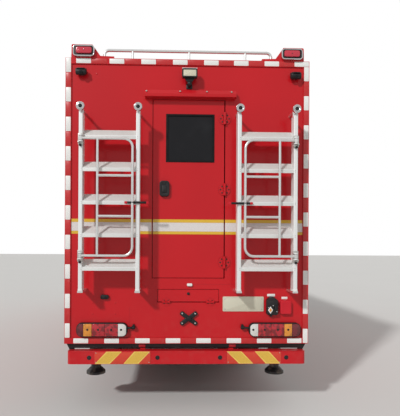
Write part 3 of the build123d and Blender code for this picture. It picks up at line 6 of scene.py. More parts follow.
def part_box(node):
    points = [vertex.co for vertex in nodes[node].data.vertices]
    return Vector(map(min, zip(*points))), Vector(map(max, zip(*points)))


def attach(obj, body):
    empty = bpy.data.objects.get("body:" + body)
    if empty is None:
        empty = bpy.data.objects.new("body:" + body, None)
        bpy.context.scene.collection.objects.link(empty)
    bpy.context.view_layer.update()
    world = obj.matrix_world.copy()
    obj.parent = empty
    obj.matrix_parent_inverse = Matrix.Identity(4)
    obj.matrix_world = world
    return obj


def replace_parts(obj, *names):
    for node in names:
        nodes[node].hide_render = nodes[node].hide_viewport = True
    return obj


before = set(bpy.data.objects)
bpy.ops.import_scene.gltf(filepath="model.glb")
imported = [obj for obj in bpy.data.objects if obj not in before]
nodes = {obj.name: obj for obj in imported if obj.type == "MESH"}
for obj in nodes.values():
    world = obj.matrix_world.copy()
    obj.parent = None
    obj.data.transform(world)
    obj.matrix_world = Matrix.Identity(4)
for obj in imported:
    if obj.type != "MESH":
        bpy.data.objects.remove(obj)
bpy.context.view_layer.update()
print("frame loaded:", len(nodes), "nodes")


# Modelling helpers

def clearSelection():
    if bpy.context.mode != "OBJECT":
        bpy.ops.object.mode_set(mode="OBJECT")
    bpy.ops.object.select_all(action="DESELECT")


def takeUp(piece):
    clearSelection()
    piece.select_set(True)
    bpy.context.view_layer.objects.active = piece


def named(piece, name):
    # the place goes into the mesh and the object stays at the origin
    takeUp(piece)
    bpy.ops.object.transform_apply(location=True, rotation=True, scale=True)
    piece.name = name
    piece.data.name = name
    return piece


def pick(piece, kind, test):
    # leaves the piece in edit mode with what passes the test selected
    takeUp(piece)
    bpy.ops.object.mode_set(mode="EDIT")
    bpy.ops.mesh.select_mode(type=kind)
    bpy.ops.mesh.select_all(action="DESELECT")
    bpy.ops.object.mode_set(mode="OBJECT")
    mesh = piece.data
    if kind == "FACE":
        for face in mesh.polygons:
            face.select = test(face.center, face.normal)
    elif kind == "EDGE":
        for edge in mesh.edges:
            start, end = (mesh.vertices[i].co for i in edge.vertices)
            edge.select = test(start, end)
    else:
        for vertex in mesh.vertices:
            vertex.select = test(vertex.co)
    bpy.ops.object.mode_set(mode="EDIT")


def easeEdges(piece, width, steps=2, sharp=35):
    takeUp(piece)
    bpy.ops.object.mode_set(mode="EDIT")
    bpy.ops.mesh.select_mode(type="EDGE")
    bpy.ops.mesh.select_all(action="DESELECT")
    bpy.ops.mesh.edges_select_sharp(sharpness=math.radians(sharp))
    bpy.ops.mesh.bevel(offset=width, segments=steps, affect="EDGES")
    bpy.ops.object.mode_set(mode="OBJECT")


def faceOut(piece):
    takeUp(piece)
    bpy.ops.object.mode_set(mode="EDIT")
    bpy.ops.mesh.select_all(action="SELECT")
    bpy.ops.mesh.remove_doubles(threshold=0.00002)
    bpy.ops.mesh.normals_make_consistent(inside=False)
    bpy.ops.object.mode_set(mode="OBJECT")
    return piece


def slab(name, low, high, corner=0.0, edge=0.001, steps=4):
    # a plate or case: its corners rounded about its thinnest way, then its edges eased
    low, high = Vector(map(min, low, high)), Vector(map(max, low, high))
    size = high - low
    clearSelection()
    bpy.ops.mesh.primitive_cube_add(size=1, location=(low + high) / 2, scale=size)
    piece = named(bpy.context.object, name)
    if corner:
        thin = min(range(3), key=lambda i: size[i])
        others = [i for i in range(3) if i != thin]
        pick(piece, "EDGE", lambda a, b: all(abs(a[i] - b[i]) < 1e-6 for i in others))
        bpy.ops.mesh.bevel(offset=corner, segments=steps, affect="EDGES")
        bpy.ops.object.mode_set(mode="OBJECT")
    if edge:
        easeEdges(piece, edge)
    return piece


def insetFront(piece, test, *steps):
    # sinks the face that passes the test, step by step
    pick(piece, "FACE", test)
    for thickness, depth in steps:
        bpy.ops.mesh.inset(thickness=thickness, depth=depth)
    bpy.ops.object.mode_set(mode="OBJECT")


def drum(name, start, end, radius, farRadius=None, sides=28, edge=0.001):
    # a round bar or a cone from one point to another
    start, end = Vector(start), Vector(end)
    run = end - start
    turn = run.to_track_quat("Z", "Y").to_euler()
    clearSelection()
    bpy.ops.mesh.primitive_cone_add(vertices=sides, radius1=radius, radius2=farRadius or radius,
                                    depth=run.length, location=(start + end) / 2, rotation=turn)
    piece = named(bpy.context.object, name)
    if edge:
        easeEdges(piece, edge)
    return piece


def ring(name, centre, axis, radius, thick, sides=40, tubeSides=10):
    turn = Vector(axis).to_track_quat("Z", "Y").to_euler()
    clearSelection()
    bpy.ops.mesh.primitive_torus_add(major_radius=radius, minor_radius=thick, location=centre,
                                     rotation=turn, major_segments=sides, minor_segments=tubeSides)
    return named(bpy.context.object, name)


def drawn(name, points):
    # a run of edges drawn point by point from one vertex
    clearSelection()
    bpy.ops.mesh.primitive_plane_add(size=0.01, location=points[0])
    piece = named(bpy.context.object, name)
    bpy.ops.object.mode_set(mode="EDIT")
    bpy.ops.mesh.select_mode(type="VERT")
    bpy.ops.mesh.select_all(action="SELECT")
    bpy.ops.mesh.merge(type="CENTER")
    for start, end in zip(points, points[1:]):
        step = Vector(end) - Vector(start)
        bpy.ops.mesh.extrude_region_move(TRANSFORM_OT_translate={"value": step})
    bpy.ops.mesh.select_all(action="SELECT")
    return piece


def outlined(name, points, depth, edge=0.0):
    # a flat outline filled and drawn out by a depth
    piece = drawn(name, points)
    bpy.ops.mesh.edge_face_add()
    bpy.ops.mesh.select_mode(type="FACE")
    bpy.ops.mesh.extrude_region_move(TRANSFORM_OT_translate={"value": Vector(depth)})
    bpy.ops.object.mode_set(mode="OBJECT")
    faceOut(piece)
    if edge:
        easeEdges(piece, edge)
    return piece


def turned(name, profile, centre, axis, steps=48):
    # a profile of (place along the axis, radius) spun about the axis
    way = Vector(axis)
    radial = way.orthogonal().normalized()
    centre = Vector(centre)
    points = [centre + way * along + radial * radius for along, radius in profile]
    piece = drawn(name, points)
    bpy.ops.mesh.spin(steps=steps, angle=2 * math.pi, center=centre, axis=way)
    bpy.ops.object.mode_set(mode="OBJECT")
    return faceOut(piece)


def pipe(name, points, radius, bend=3, sides=3):
    # a smooth round rod or hose through given points
    curve = bpy.data.curves.new(name, "CURVE")
    curve.dimensions = "3D"
    curve.bevel_depth = radius
    curve.bevel_resolution = sides
    curve.use_fill_caps = True
    spline = curve.splines.new("NURBS")
    spline.points.add(len(points) - 1)
    for point, place in zip(spline.points, points):
        point.co = (*place, 1)
    spline.order_u = bend
    spline.use_endpoint_u = True
    piece = bpy.data.objects.new(name, curve)
    bpy.context.scene.collection.objects.link(piece)
    takeUp(piece)
    bpy.ops.object.convert(target="MESH")
    return named(bpy.context.object, name)


def copyAt(piece, offset):
    twin = piece.copy()
    twin.data = piece.data.copy()
    bpy.context.scene.collection.objects.link(twin)
    twin.data.transform(Matrix.Translation(offset))
    return twin


def copyTurned(piece, degrees, axis, centre):
    twin = copyAt(piece, (0, 0, 0))
    about = Matrix.Translation(centre)
    twin.data.transform(about @ Matrix.Rotation(math.radians(degrees), 4, axis) @ about.inverted())
    return twin


def otherSide(piece, name=None):
    twin = copyAt(piece, (0, 0, 0))
    twin.data.transform(Matrix.Scale(-1, 4, (1, 0, 0)))
    if name:
        twin.name = name
    return faceOut(twin)


def joined(name, pieces):
    clearSelection()
    for piece in pieces:
        piece.select_set(True)
    bpy.context.view_layer.objects.active = pieces[0]
    if len(pieces) > 1:
        bpy.ops.object.join()
    whole = bpy.context.view_layer.objects.active
    whole.name = name
    whole.data.name = name
    return whole


def fitted(piece, finish, body="truck", slot=None, smooth=38):
    # the finish, the shading and the body that a finished piece rides on
    piece.data.materials.clear()
    piece.data.materials.append(finish)
    takeUp(piece)
    bpy.ops.object.shade_smooth_by_angle(angle=math.radians(smooth))
    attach(piece, body)
    return piece


def bothSides(right, finish, body="truck", slot=None):
    # a right-hand piece and its mirror image on the left, each on its own body
    fitted(right, finish, body, slot)
    left = otherSide(right, right.name.replace("right", "left"))
    return right, fitted(left, finish, body.replace("right", "left"), slot)


# Shader helpers

class Wire:
    # a node's output; sums with it add Math nodes
    def __init__(self, shader, socket):
        self.shader = shader
        self.socket = socket

    def math(self, operation, first, second=0.0):
        return self.shader.add("Math", {"operation": operation}, {0: first, 1: second})

    def __add__(self, other):
        return self.math("ADD", self, other)

    def __radd__(self, other):
        return self.math("ADD", other, self)

    def __sub__(self, other):
        return self.math("SUBTRACT", self, other)

    def __rsub__(self, other):
        return self.math("SUBTRACT", other, self)

    def __mul__(self, other):
        return self.math("MULTIPLY", self, other)

    def __rmul__(self, other):
        return self.math("MULTIPLY", other, self)


class Finish:
    # one material and the ways to add to its nodes
    def __init__(self, name):
        self.material = bpy.data.materials.new(name)
        self.material.use_nodes = True
        self.tree = self.material.node_tree
        self.shader = self.tree.nodes["Principled BSDF"]
        self.place = self.add("TexCoord", out="Object")

    def add(self, kind, settings=None, sockets=None, out=0):
        node = self.tree.nodes.new("ShaderNode" + kind)
        for key, value in (settings or {}).items():
            setattr(node, key, value)
        for key, value in (sockets or {}).items():
            self.plug(node.inputs[key], value)
        return Wire(self, node.outputs[out])

    def plug(self, socket, value):
        if isinstance(value, Wire):
            self.tree.links.new(value.socket, socket)
        else:
            socket.default_value = value

    def noise(self, scale, detail=3.0, stretch=(1, 1, 1), rough=0.55):
        where = self.place
        if tuple(stretch) != (1, 1, 1):
            where = self.add("Mapping", {}, {"Vector": self.place, "Scale": stretch})
        return self.add("TexNoise", {}, {"Vector": where, "Scale": scale, "Detail": detail,
                                         "Roughness": rough})

    def ease(self, value, low, high, start=0.0, end=1.0):
        return self.add("MapRange", {"interpolation_type": "SMOOTHSTEP"},
                        {"Value": value, "From Min": low, "From Max": high, "To Min": start, "To Max": end})

    def blend(self, factor, first, second):
        sockets = {0: factor}
        for key, colour in ((6, first), (7, second)):
            sockets[key] = colour if isinstance(colour, Wire) else (*colour, 1)
        return self.add("Mix", {"data_type": "RGBA"}, sockets, out=2)

    def height(self):
        return self.add("SeparateXYZ", {}, {0: self.place}, out=2)

    def bump(self, height, strength, depth=0.001):
        normal = self.add("Bump", {}, {"Height": height, "Strength": strength, "Distance": depth})
        self.plug(self.shader.inputs["Normal"], normal)

    def give(self, **values):
        names = {"colour": "Base Color", "rough": "Roughness", "metal": "Metallic", "coat": "Coat Weight",
                 "coatRough": "Coat Roughness", "clear": "Transmission Weight", "ior": "IOR",
                 "sheen": "Sheen Weight", "shine": "Specular IOR Level"}
        for key, value in values.items():
            if isinstance(value, tuple) and len(value) == 3:
                value = (*value, 1)
            self.plug(self.shader.inputs[names[key]], value)
        return self.material


roadDust = (0.30, 0.25, 0.20)


def paint(name, colour, rough=0.30, coat=0.16, dust=0.06, shade=0.92):
    # gloss paint: slow drift of tone, faint orange peel, road dust low down
    finish = Finish(name)
    drift = finish.ease(finish.noise(0.9, 2.0), 0.35, 0.65)
    tone = finish.blend(drift, [c * shade for c in colour], colour)
    spread = finish.ease(finish.noise(14.0, 6.0), 0.42, 0.72)
    low = finish.ease(finish.height(), 1.25, 0.45)
    film = spread * low * dust
    finish.bump(finish.noise(260.0, 2.0), 0.05, 0.0006)
    return finish.give(colour=finish.blend(film, tone, roadDust), rough=film * 0.9 + rough,
                       coat=coat - film * 0.8, coatRough=0.08, shine=0.25)


def metal(name, colour, rough=0.28, grain=(1, 1, 40), scale=60.0, spread=0.10, metallic=1.0):
    # drawn or brushed metal: streaks along the grain in tone and roughness
    finish = Finish(name)
    streak = finish.noise(scale, 4.0, grain)
    smear = finish.noise(5.0, 4.0)
    tone = finish.blend(streak, [c * 0.90 for c in colour], [min(1.0, c * 1.06) for c in colour])
    finish.bump(streak, 0.06, 0.0005)
    return finish.give(colour=tone, rough=streak * spread + smear * spread + (rough - spread),
                       metal=metallic)


def moulded(name, colour, rough=0.5, grain=700.0, relief=0.12, dust=0.0):
    # moulded plastic or rubber: fine grain, a greyed film where dust lies
    finish = Finish(name)
    cloud = finish.ease(finish.noise(9.0, 5.0), 0.40, 0.75)
    film = cloud * dust
    tone = finish.blend(finish.noise(3.0, 2.0), [c * 0.85 for c in colour], [c * 1.12 for c in colour])
    finish.bump(finish.noise(grain, 2.0), relief, 0.0006)
    return finish.give(colour=finish.blend(film, tone, roadDust), rough=cloud * 0.12 + rough, shine=0.3)


def lens(name, colour, rough=0.14, ribs=520.0, bowls=0.0):
    # moulded lamp lens with fine prisms behind a gloss face, with patches of painted shade standing for the
    # reflector's hollows behind it
    finish = Finish(name)
    prism = finish.add("TexVoronoi", {"feature": "F1"}, {"Vector": finish.place, "Scale": ribs})
    tone = finish.blend(prism, [min(1.0, c * 1.25) for c in colour], [c * 0.55 for c in colour])
    # painted shade: noise patches darkened to about a fifth of the colour, as strong as bowls, stand for the
    # reflector's hollows
    reflectorShade = finish.ease(finish.noise(24.0, 1.0), 0.47, 0.62) * bowls
    tone = finish.blend(reflectorShade, tone, [c * 0.22 for c in colour])
    finish.bump(prism, 0.35, 0.0008)
    return finish.give(colour=tone, rough=finish.noise(20.0) * 0.08 + (rough - 0.04), coat=0.6,
                       coatRough=0.05)


def glass(name, colour, rough=0.05, clear=0.0, shine=0.5):
    finish = Finish(name)
    smear = finish.ease(finish.noise(3.5, 5.0), 0.45, 0.8)
    tone = finish.blend(smear, colour, [min(1.0, c * 1.25 + 0.004) for c in colour])
    finish.bump(finish.noise(2.0, 1.0), 0.02, 0.001)
    return finish.give(colour=tone, rough=smear * 0.05 + rough, clear=clear, ior=1.45, coat=0.0, shine=shine)


def reflective(name, colour, rough=0.32, cells=330.0):
    # retroreflective film: a fine honeycomb of beads under a clear face
    finish = Finish(name)
    cell = finish.add("TexVoronoi", {"feature": "DISTANCE_TO_EDGE"},
                      {"Vector": finish.place, "Scale": cells})
    wall = finish.ease(cell, 0.02, 0.10)
    tone = finish.blend(wall, [c * 0.80 for c in colour], colour)
    soil = finish.ease(finish.noise(30.0, 4.0), 0.5, 0.8) * 0.10
    finish.bump(wall, 0.10, 0.0003)
    return finish.give(colour=finish.blend(soil, tone, roadDust), rough=soil + rough, coat=0.25)


def weave(name, colour, threads=620.0):
    # woven cloth from three crossed sets of threads
    finish = Finish(name)
    across, along, depthWise = (
        finish.add("TexWave", {"bands_direction": way}, {"Vector": finish.place, "Scale": threads / 6})
        for way in "XZY")
    cloth = (across + along + depthWise) * 0.333
    tone = finish.blend(cloth, [c * 0.65 for c in colour], [c * 1.3 for c in colour])
    finish.bump(cloth, 0.5, 0.0008)
    return finish.give(colour=tone, rough=cloth * 0.1 + 0.82, sheen=0.25)


def tyreRubber(name):
    # black rubber, greyer with dust near the road and on the tread
    finish = Finish(name)
    low = finish.ease(finish.height(), 0.9, 0.0)
    cloud = finish.ease(finish.noise(18.0, 6.0), 0.38, 0.70)
    tone = finish.blend(finish.noise(6.0), (0.020, 0.020, 0.021), (0.034, 0.033, 0.033))
    finish.bump(finish.noise(380.0, 3.0), 0.25, 0.0008)
    return finish.give(colour=finish.blend(cloud * low * 0.35 + 0.03, tone, roadDust),
                       rough=cloud * 0.1 + 0.72)


redPaint = paint("redPaint", (0.545, 0.009, 0.015))
# a darker copy of the red paint: the dark joints between sheets, and painted shade on the brackets in the gap
# under the body and in a ring round each hinge leaf
darkRedPaint = paint("darkRedPaint", (0.360, 0.008, 0.016), rough=0.35)
chassisPaint = paint("chassisPaint", (0.030, 0.030, 0.032), rough=0.45, coat=0.1, dust=0.5)
castSteel = metal("castSteel", (0.10, 0.10, 0.105), 0.62, (1, 1, 1), 24.0, 0.12, 0.4)
blackPlastic = moulded("blackPlastic", (0.012, 0.012, 0.013), 0.42, dust=0.03)
blackRubber = moulded("blackRubber", (0.010, 0.010, 0.011), 0.62, 380.0, 0.2, 0.03)
windowRubber = moulded("windowRubber", (0.003, 0.003, 0.003), 0.80, 380.0, 0.1)
whiteAluminium = metal("whiteAluminium", (0.80, 0.81, 0.80), 0.42, (30, 1, 30), 12.0, 0.08, 0.25)
treadAluminium = metal("treadAluminium", (0.66, 0.65, 0.61), 0.48, (1, 30, 30), 12.0, 0.10, 0.35)
polishedSteel = metal("polishedSteel", (0.76, 0.76, 0.75), 0.24, (1, 1, 1), 30.0, 0.06, 0.85)
chrome = metal("chrome", (0.62, 0.62, 0.62), 0.10, (1, 1, 1), 20.0, 0.03, 1.0)
zincSteel = metal("zincSteel", (0.52, 0.51, 0.48), 0.40, (1, 1, 1), 50.0, 0.12, 0.9)
platedSheet = metal("platedSheet", (0.66, 0.63, 0.50), 0.36, (40, 1, 1), 20.0, 0.08, 0.35)
darkGlass = glass("darkGlass", (0.012, 0.012, 0.014), 0.10, shine=0.2)
clearGlass = glass("clearGlass", (0.78, 0.88, 0.85), 0.02, 0.92)
lampGlass = glass("lampGlass", (0.90, 0.93, 0.95), 0.03, 0.9)
mirrorGlass = metal("mirrorGlass", (0.86, 0.88, 0.90), 0.05, (1, 1, 1), 8.0, 0.01, 1.0)
redLens = lens("redLens", (0.50, 0.010, 0.022), bowls=0.75)
darkRedLens = lens("darkRedLens", (0.17, 0.008, 0.016), bowls=0.6)
amberLens = lens("amberLens", (0.82, 0.30, 0.03), bowls=0.35)
whiteLens = lens("whiteLens", (0.74, 0.73, 0.69))
creamLens = lens("creamLens", (0.72, 0.68, 0.52))
blueLens = lens("blueLens", (0.02, 0.08, 0.55))
beaconLens = lens("beaconLens", (0.62, 0.02, 0.05), ribs=300.0)
whiteTape = reflective("whiteTape", (0.86, 0.86, 0.83))
redTape = reflective("redTape", (0.54, 0.012, 0.014))
stripeWhite = reflective("stripeWhite", (0.74, 0.70, 0.68), cells=500.0)
stripeYellow = reflective("stripeYellow", (0.74, 0.46, 0.03), cells=500.0)
boardYellow = reflective("boardYellow", (0.74, 0.46, 0.06), cells=260.0)
boardBrightYellow = reflective("boardBrightYellow", (0.86, 0.62, 0.12), cells=260.0)
boardOrange = reflective("boardOrange", (0.66, 0.045, 0.018), cells=260.0)
tyreBlack = tyreRubber("tyreBlack")
wheelSilver = paint("wheelSilver", (0.52, 0.53, 0.54), rough=0.38, coat=0.2, dust=0.5)
greyPlastic = moulded("greyPlastic", (0.085, 0.088, 0.095), 0.55)
seatCloth = weave("seatCloth", (0.055, 0.060, 0.075))
redPlastic = moulded("redPlastic", (0.56, 0.012, 0.024), 0.38)
whitePlastic = moulded("whitePlastic", (0.80, 0.80, 0.77), 0.35)
brushedTank = metal("brushedTank", (0.62, 0.63, 0.64), 0.34, (1, 1, 60), 24.0, 0.08, 0.9)
print("finishes made")

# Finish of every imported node: red paint unless it is named here
nodeFinish = {name: finish for finish, names in (
    (chassisPaint, "chassis_frame box_floor jack_tubes jack_leg_left jack_leg_right"),
    (castSteel, "leaf_springs front_axle rear_axle engine knuckle_left knuckle_right tie_rod"),
    (blackPlastic, "front_mudguards rear_lamps rear_fittings headlamps cab_grille mirrors"),
    (polishedSteel, "ladder_hooks guard_rail handrail_left handrail_right"),
    (tyreBlack, "front_tyre_left front_tyre_right rear_tyres_left rear_tyres_right"),
    (wheelSilver, "front_rim_left front_rim_right rear_rims_left rear_rims_right"),
    (clearGlass, "cab_glass cab_door_glass_left cab_door_glass_right"),
    (darkGlass, "box_windows rear_door_glass"), (brushedTank, "tanks"), (whiteAluminium, "ladders"),
    (greyPlastic, "cab_interior"), (seatCloth, "cab_seats"), (blueLens, "light_bar"),
) for name in names.split()}
for name, node in nodes.items():
    for holder in node.material_slots:
        holder.material = nodeFinish.get(name, redPaint)
print("nodes finished")

# Camera, lamps and floor
view = {"place": (-0.20, -8.72, 1.70), "turnRight": 1.6, "roll": 0.3, "lens": 37.21, "sensor": 36.0,
        "shiftX": 20 / 416, "shiftY": 36 / 416}
light = {"world": 0.44, "gloss": 0.50, "key": 2.15, "keyWay": (0.507, 0.667, -0.547), "keySoft": 4.0,
         "fill": 0.55, "fillWay": (-0.45, -0.75, -0.50), "fillSoft": 60.0, "floor": (0.66, 0.65, 0.63)}


def setCamera():
    data = bpy.data.cameras.new("camera")
    data.sensor_width = view["sensor"]
    data.lens = view["lens"]
    data.shift_x = view["shiftX"]
    data.shift_y = view["shiftY"]
    data.clip_end = 200
    camera = bpy.data.objects.new("camera", data)
    camera.location = view["place"]
    camera.rotation_euler = (math.radians(90), math.radians(-view["roll"]), math.radians(-view["turnRight"]))
    bpy.context.scene.collection.objects.link(camera)
    bpy.context.scene.camera = camera


def setLamps():
    for name, power, way, soft in (("keyLamp", light["key"], light["keyWay"], light["keySoft"]),
                                   ("fillLamp", light["fill"], light["fillWay"], light["fillSoft"])):
        data = bpy.data.lights.new(name, "SUN")
        data.energy = power
        data.angle = math.radians(soft)
        lamp = bpy.data.objects.new(name, data)
        lamp.rotation_euler = Vector(way).to_track_quat("-Z", "Y").to_euler()
        bpy.context.scene.collection.objects.link(lamp)
    world = bpy.data.worlds.new("world")
    world.use_nodes = True
    bpy.context.scene.world = world
    tree = world.node_tree
    tree.nodes.clear()
    path, seen, mirrored, level, backdrop, out = (tree.nodes.new("ShaderNode" + kind) for kind in (
        "LightPath", "Math", "Math", "MapRange", "Background", "OutputWorld"))
    seen.operation = "MAXIMUM"
    mirrored.operation = "MULTIPLY_ADD"
    mirrored.inputs[1].default_value = light["gloss"]
    level.inputs["To Min"].default_value = light["world"]
    level.inputs["To Max"].default_value = 1.0
    backdrop.inputs["Color"].default_value = (1, 1, 1, 1)
    for start, output, end, socket in (
            (path, "Is Camera Ray", seen, 0), (path, "Is Transmission Ray", seen, 1),
            (path, "Is Glossy Ray", mirrored, 0), (seen, 0, mirrored, 2), (mirrored, 0, level, "Value"),
            (level, 0, backdrop, "Strength"), (backdrop, 0, out, "Surface")):
        tree.links.new(start.outputs[output], end.inputs[socket])


def setFloor():
    clearSelection()
    bpy.ops.mesh.primitive_plane_add(size=120, location=(0, 0, 0))
    floor = named(bpy.context.object, "floor")
    finish = Finish("floorFinish")
    drift = finish.noise(0.4, 3.0)
    tone = finish.blend(drift, [c * 0.96 for c in light["floor"]], light["floor"])
    floor.data.materials.append(finish.give(colour=tone, rough=0.85, shine=0.2))


bpy.context.scene.view_settings.view_transform = "Standard"
setCamera()
setLamps()
setFloor()
print("camera, lamps and floor set")

# Places that many pieces share
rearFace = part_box("rear_edge_frame")[0].y
wallFace = rearFace + 0.012
sideFace = 1.250
cabSide = 1.150
skin = 0.0002          # how deep a film or a foot sits in what carries it
facing = 0.95          # how squarely a face looks outward to count as the front
handleInset = ((0.014, -0.001), (0.003, -0.0006))


def onWall(name, x, z, proud, corner=0.0, edge=0.001, steps=4):
    # a plate on the rear wall: its ends across and up, and how far it stands out
    return slab(name, (x[0], wallFace - proud, z[0]), (x[1], wallFace + skin, z[1]), corner, edge, steps)


def onFlank(name, y, z, proud, corner=0.0, edge=0.001, steps=4):
    # a plate on the box's right side: its ends along and up, and how far it stands out
    return slab(name, (sideFace - skin, y[0], z[0]), (sideFace + proud, y[1], z[1]), corner, edge, steps)


def stud(name, point, axis, radius, rise, sides=12):
    # a domed screw or rivet head
    profile = [(-skin, 0.0), (-skin, radius), (rise * 0.55, radius * 0.92),
               (rise, radius * 0.45), (rise, 0.0)]
    return turned(name, profile, point, axis, sides)


def studs(name, points, axis, radius, rise, sides=12):
    first = stud(name, points[0], axis, radius, rise, sides)
    rest = [copyAt(first, Vector(p) - Vector(points[0])) for p in points[1:]]
    return joined(name, [first] + rest)


# Reflective blocks round the rear frame
tape = {"long": 0.150, "wide": 0.050, "thick": 0.0014, "corner": 0.006, "gap": 0.008, "postX": 1.220,
        "postPitch": 0.300, "postRows": 10, "leftTop": 3.590, "rightTop": 3.534, "topStart": -1.142,
        "topPitch": 0.319, "topZ": 3.560,
        "topDrift": (0.0, 0.018, 0.022, 0.026, 0.026, 0.015, 0.012, 0.004), "lowStart": -1.157,
        "lowPitch": 0.3127, "lowZ": 0.710, "rowCount": 8}


def rearBlock(x, z, length, upright=False):
    wide, high = (tape["wide"], length) if upright else (length, tape["wide"])
    low = (x - wide / 2, rearFace - tape["thick"], z - high / 2)
    return slab("block", low, (x + wide / 2, rearFace + skin, z + high / 2), tape["corner"], 0.0004, 3)


def rearTape():
    white, red = [], []
    half = tape["long"] / 2
    noDrift = (0.0,) * tape["rowCount"]
    for start, pitch, z, drift in ((tape["topStart"], tape["topPitch"], tape["topZ"], tape["topDrift"]),
                                   (tape["lowStart"], tape["lowPitch"], tape["lowZ"], noDrift)):
        between = pitch - tape["long"] - 2 * tape["gap"]
        firstWhite = rearBlock(start + half, z, tape["long"])
        firstRed = rearBlock(start + half + pitch / 2, z, between)
        white += [firstWhite] + [copyAt(firstWhite, (pitch * i + drift[i], 0, 0))
                                 for i in range(1, tape["rowCount"])]
        red += [firstRed] + [copyAt(firstRed, (pitch * i + (drift[i] + drift[i + 1]) / 2, 0, 0))
                             for i in range(1, tape["rowCount"] - 1)]
    for side, top in ((-1, tape["leftTop"]), (1, tape["rightTop"])):
        x = side * tape["postX"]
        step = tape["postPitch"]
        firstWhite = rearBlock(x, top - half, tape["long"] - 0.004, True)
        firstRed = rearBlock(x, top - half - step / 2, step - tape["long"] - tape["gap"], True)
        white += [firstWhite] + [copyAt(firstWhite, (0, 0, -step * i)) for i in range(1, tape["postRows"])]
        red += [firstRed] + [copyAt(firstRed, (0, 0, -step * i)) for i in range(1, tape["postRows"] - 1)]
    fitted(joined("rear_tape_white", white), whiteTape)
    fitted(joined("rear_tape_red", red), redTape)


rearTape()

# The stripe: a white band between two yellow lines, on every panel that it crosses
stripe = {"thick": 0.0009, "corner": 0.003, "yellow": (1.800, 1.920), "yellowTop": (1.8285, 1.952),
          "white": (1.8295, 1.919)}
# name, body, plane, low end, high end; a side's ends run along the truck
stripeRuns = (
    ("rear_left", "truck", "rear", -1.189, -0.369), ("rear_door", "rear_door", "rear", -0.356, 0.372),
    ("rear_right", "truck", "rear", 0.385, 1.189), ("left", "truck", "left", -4.220, 2.368),
    ("right_long", "truck", "right", -4.220, 1.338), ("right_short", "truck", "right", 2.162, 2.368),
    ("side_door", "side_door", "right", 1.352, 2.148), ("cab_left", "cab", "cabLeft", 2.500, 3.148),
    ("cab_right", "cab", "cabRight", 2.500, 3.148), ("door_left", "cab_door_left", "cabLeft", 3.163, 4.236),
    ("door_right", "cab_door_right", "cabRight", 3.163, 4.236),
)
stripePlanes = {"left": -sideFace, "right": sideFace, "cabLeft": -cabSide, "cabRight": cabSide}


def stripeBand(name, plane, start, end, low, high):
    if plane == "rear":
        corners = (start, wallFace - stripe["thick"], low), (end, wallFace + skin, high)
    else:
        face = stripePlanes[plane]
        out = math.copysign(1, face)
        corners = (face - out * skin, start, low), (face + out * stripe["thick"], end, high)
    return slab(name, *corners, stripe["corner"], 0.0, 2)


def addStripes():
    for name, body, plane, start, end in stripeRuns:
        lines = [stripeBand("line", plane, start, end, low, high)
                 for low, high in zip(stripe["yellow"], stripe["yellowTop"])]
        fitted(joined(f"stripe_lines_{name}", lines), stripeYellow, body)
        band = stripeBand(f"stripe_band_{name}", plane, start, end, *stripe["white"])
        fitted(band, stripeWhite, body)


addStripes()
print("tape and stripes done")

# Rear door and hatch: seal, lips, window gasket, handle and lock, and small trim on the wall round them
door = {"x": (-0.357, 0.373), "z": (1.354, 3.177), "window": (-0.220, 0.266, 2.545, 3.027),
        "handle": (-0.290, -0.188, 2.184, 2.345), "sealBack": 0.058, "sealIn": 0.024, "sealLap": 0.0108,
        "lip": 0.0055, "cutX": (-0.368, 0.384), "cutZ": (1.343, 3.188), "hatchX": (-0.310, 0.330),
        "hatchZ": (1.100, 1.240), "hatchLift": 0.010, "hatchLock": (0.012, 1.190)}
wallTrim = {"sillLamp": ((-0.004, 0.051), (1.269, 1.297)), "canopyX": (-0.425, -0.085, 0.186, 0.437),
            "canopyZ": 3.244,
            "seams": (((0.073, 0.511), (1.2852, 1.2872)), ((-0.5915, -0.5895), (0.742, 1.050))),
            "rivets": ((-0.967, 1.096), (-0.738, 1.096), (-0.967, 0.984), (-0.738, 0.984), (-0.934, 3.435)),
            "tabs": (((0.826, 0.907), (1.164, 1.190)), ((0.975, 1.036), (1.136, 1.160)))}


def frameAround(name, low, high, wide, corner=0.0, edge=0.001, steps=6):
    # a flat frame: a plate whose middle is inset and taken out
    plate = slab(name, low, high, corner, 0.0, steps)
    size = [abs(a - b) for a, b in zip(low, high)]
    thin = size.index(min(size))
    pick(plate, "FACE", lambda middle, normal: abs(normal[thin]) > 0.9)
    bpy.ops.mesh.inset(thickness=wide, depth=0)
    bpy.ops.mesh.bridge_edge_loops()
    bpy.ops.object.mode_set(mode="OBJECT")
    faceOut(plate)
    if edge:
        easeEdges(plate, edge)
    return plate


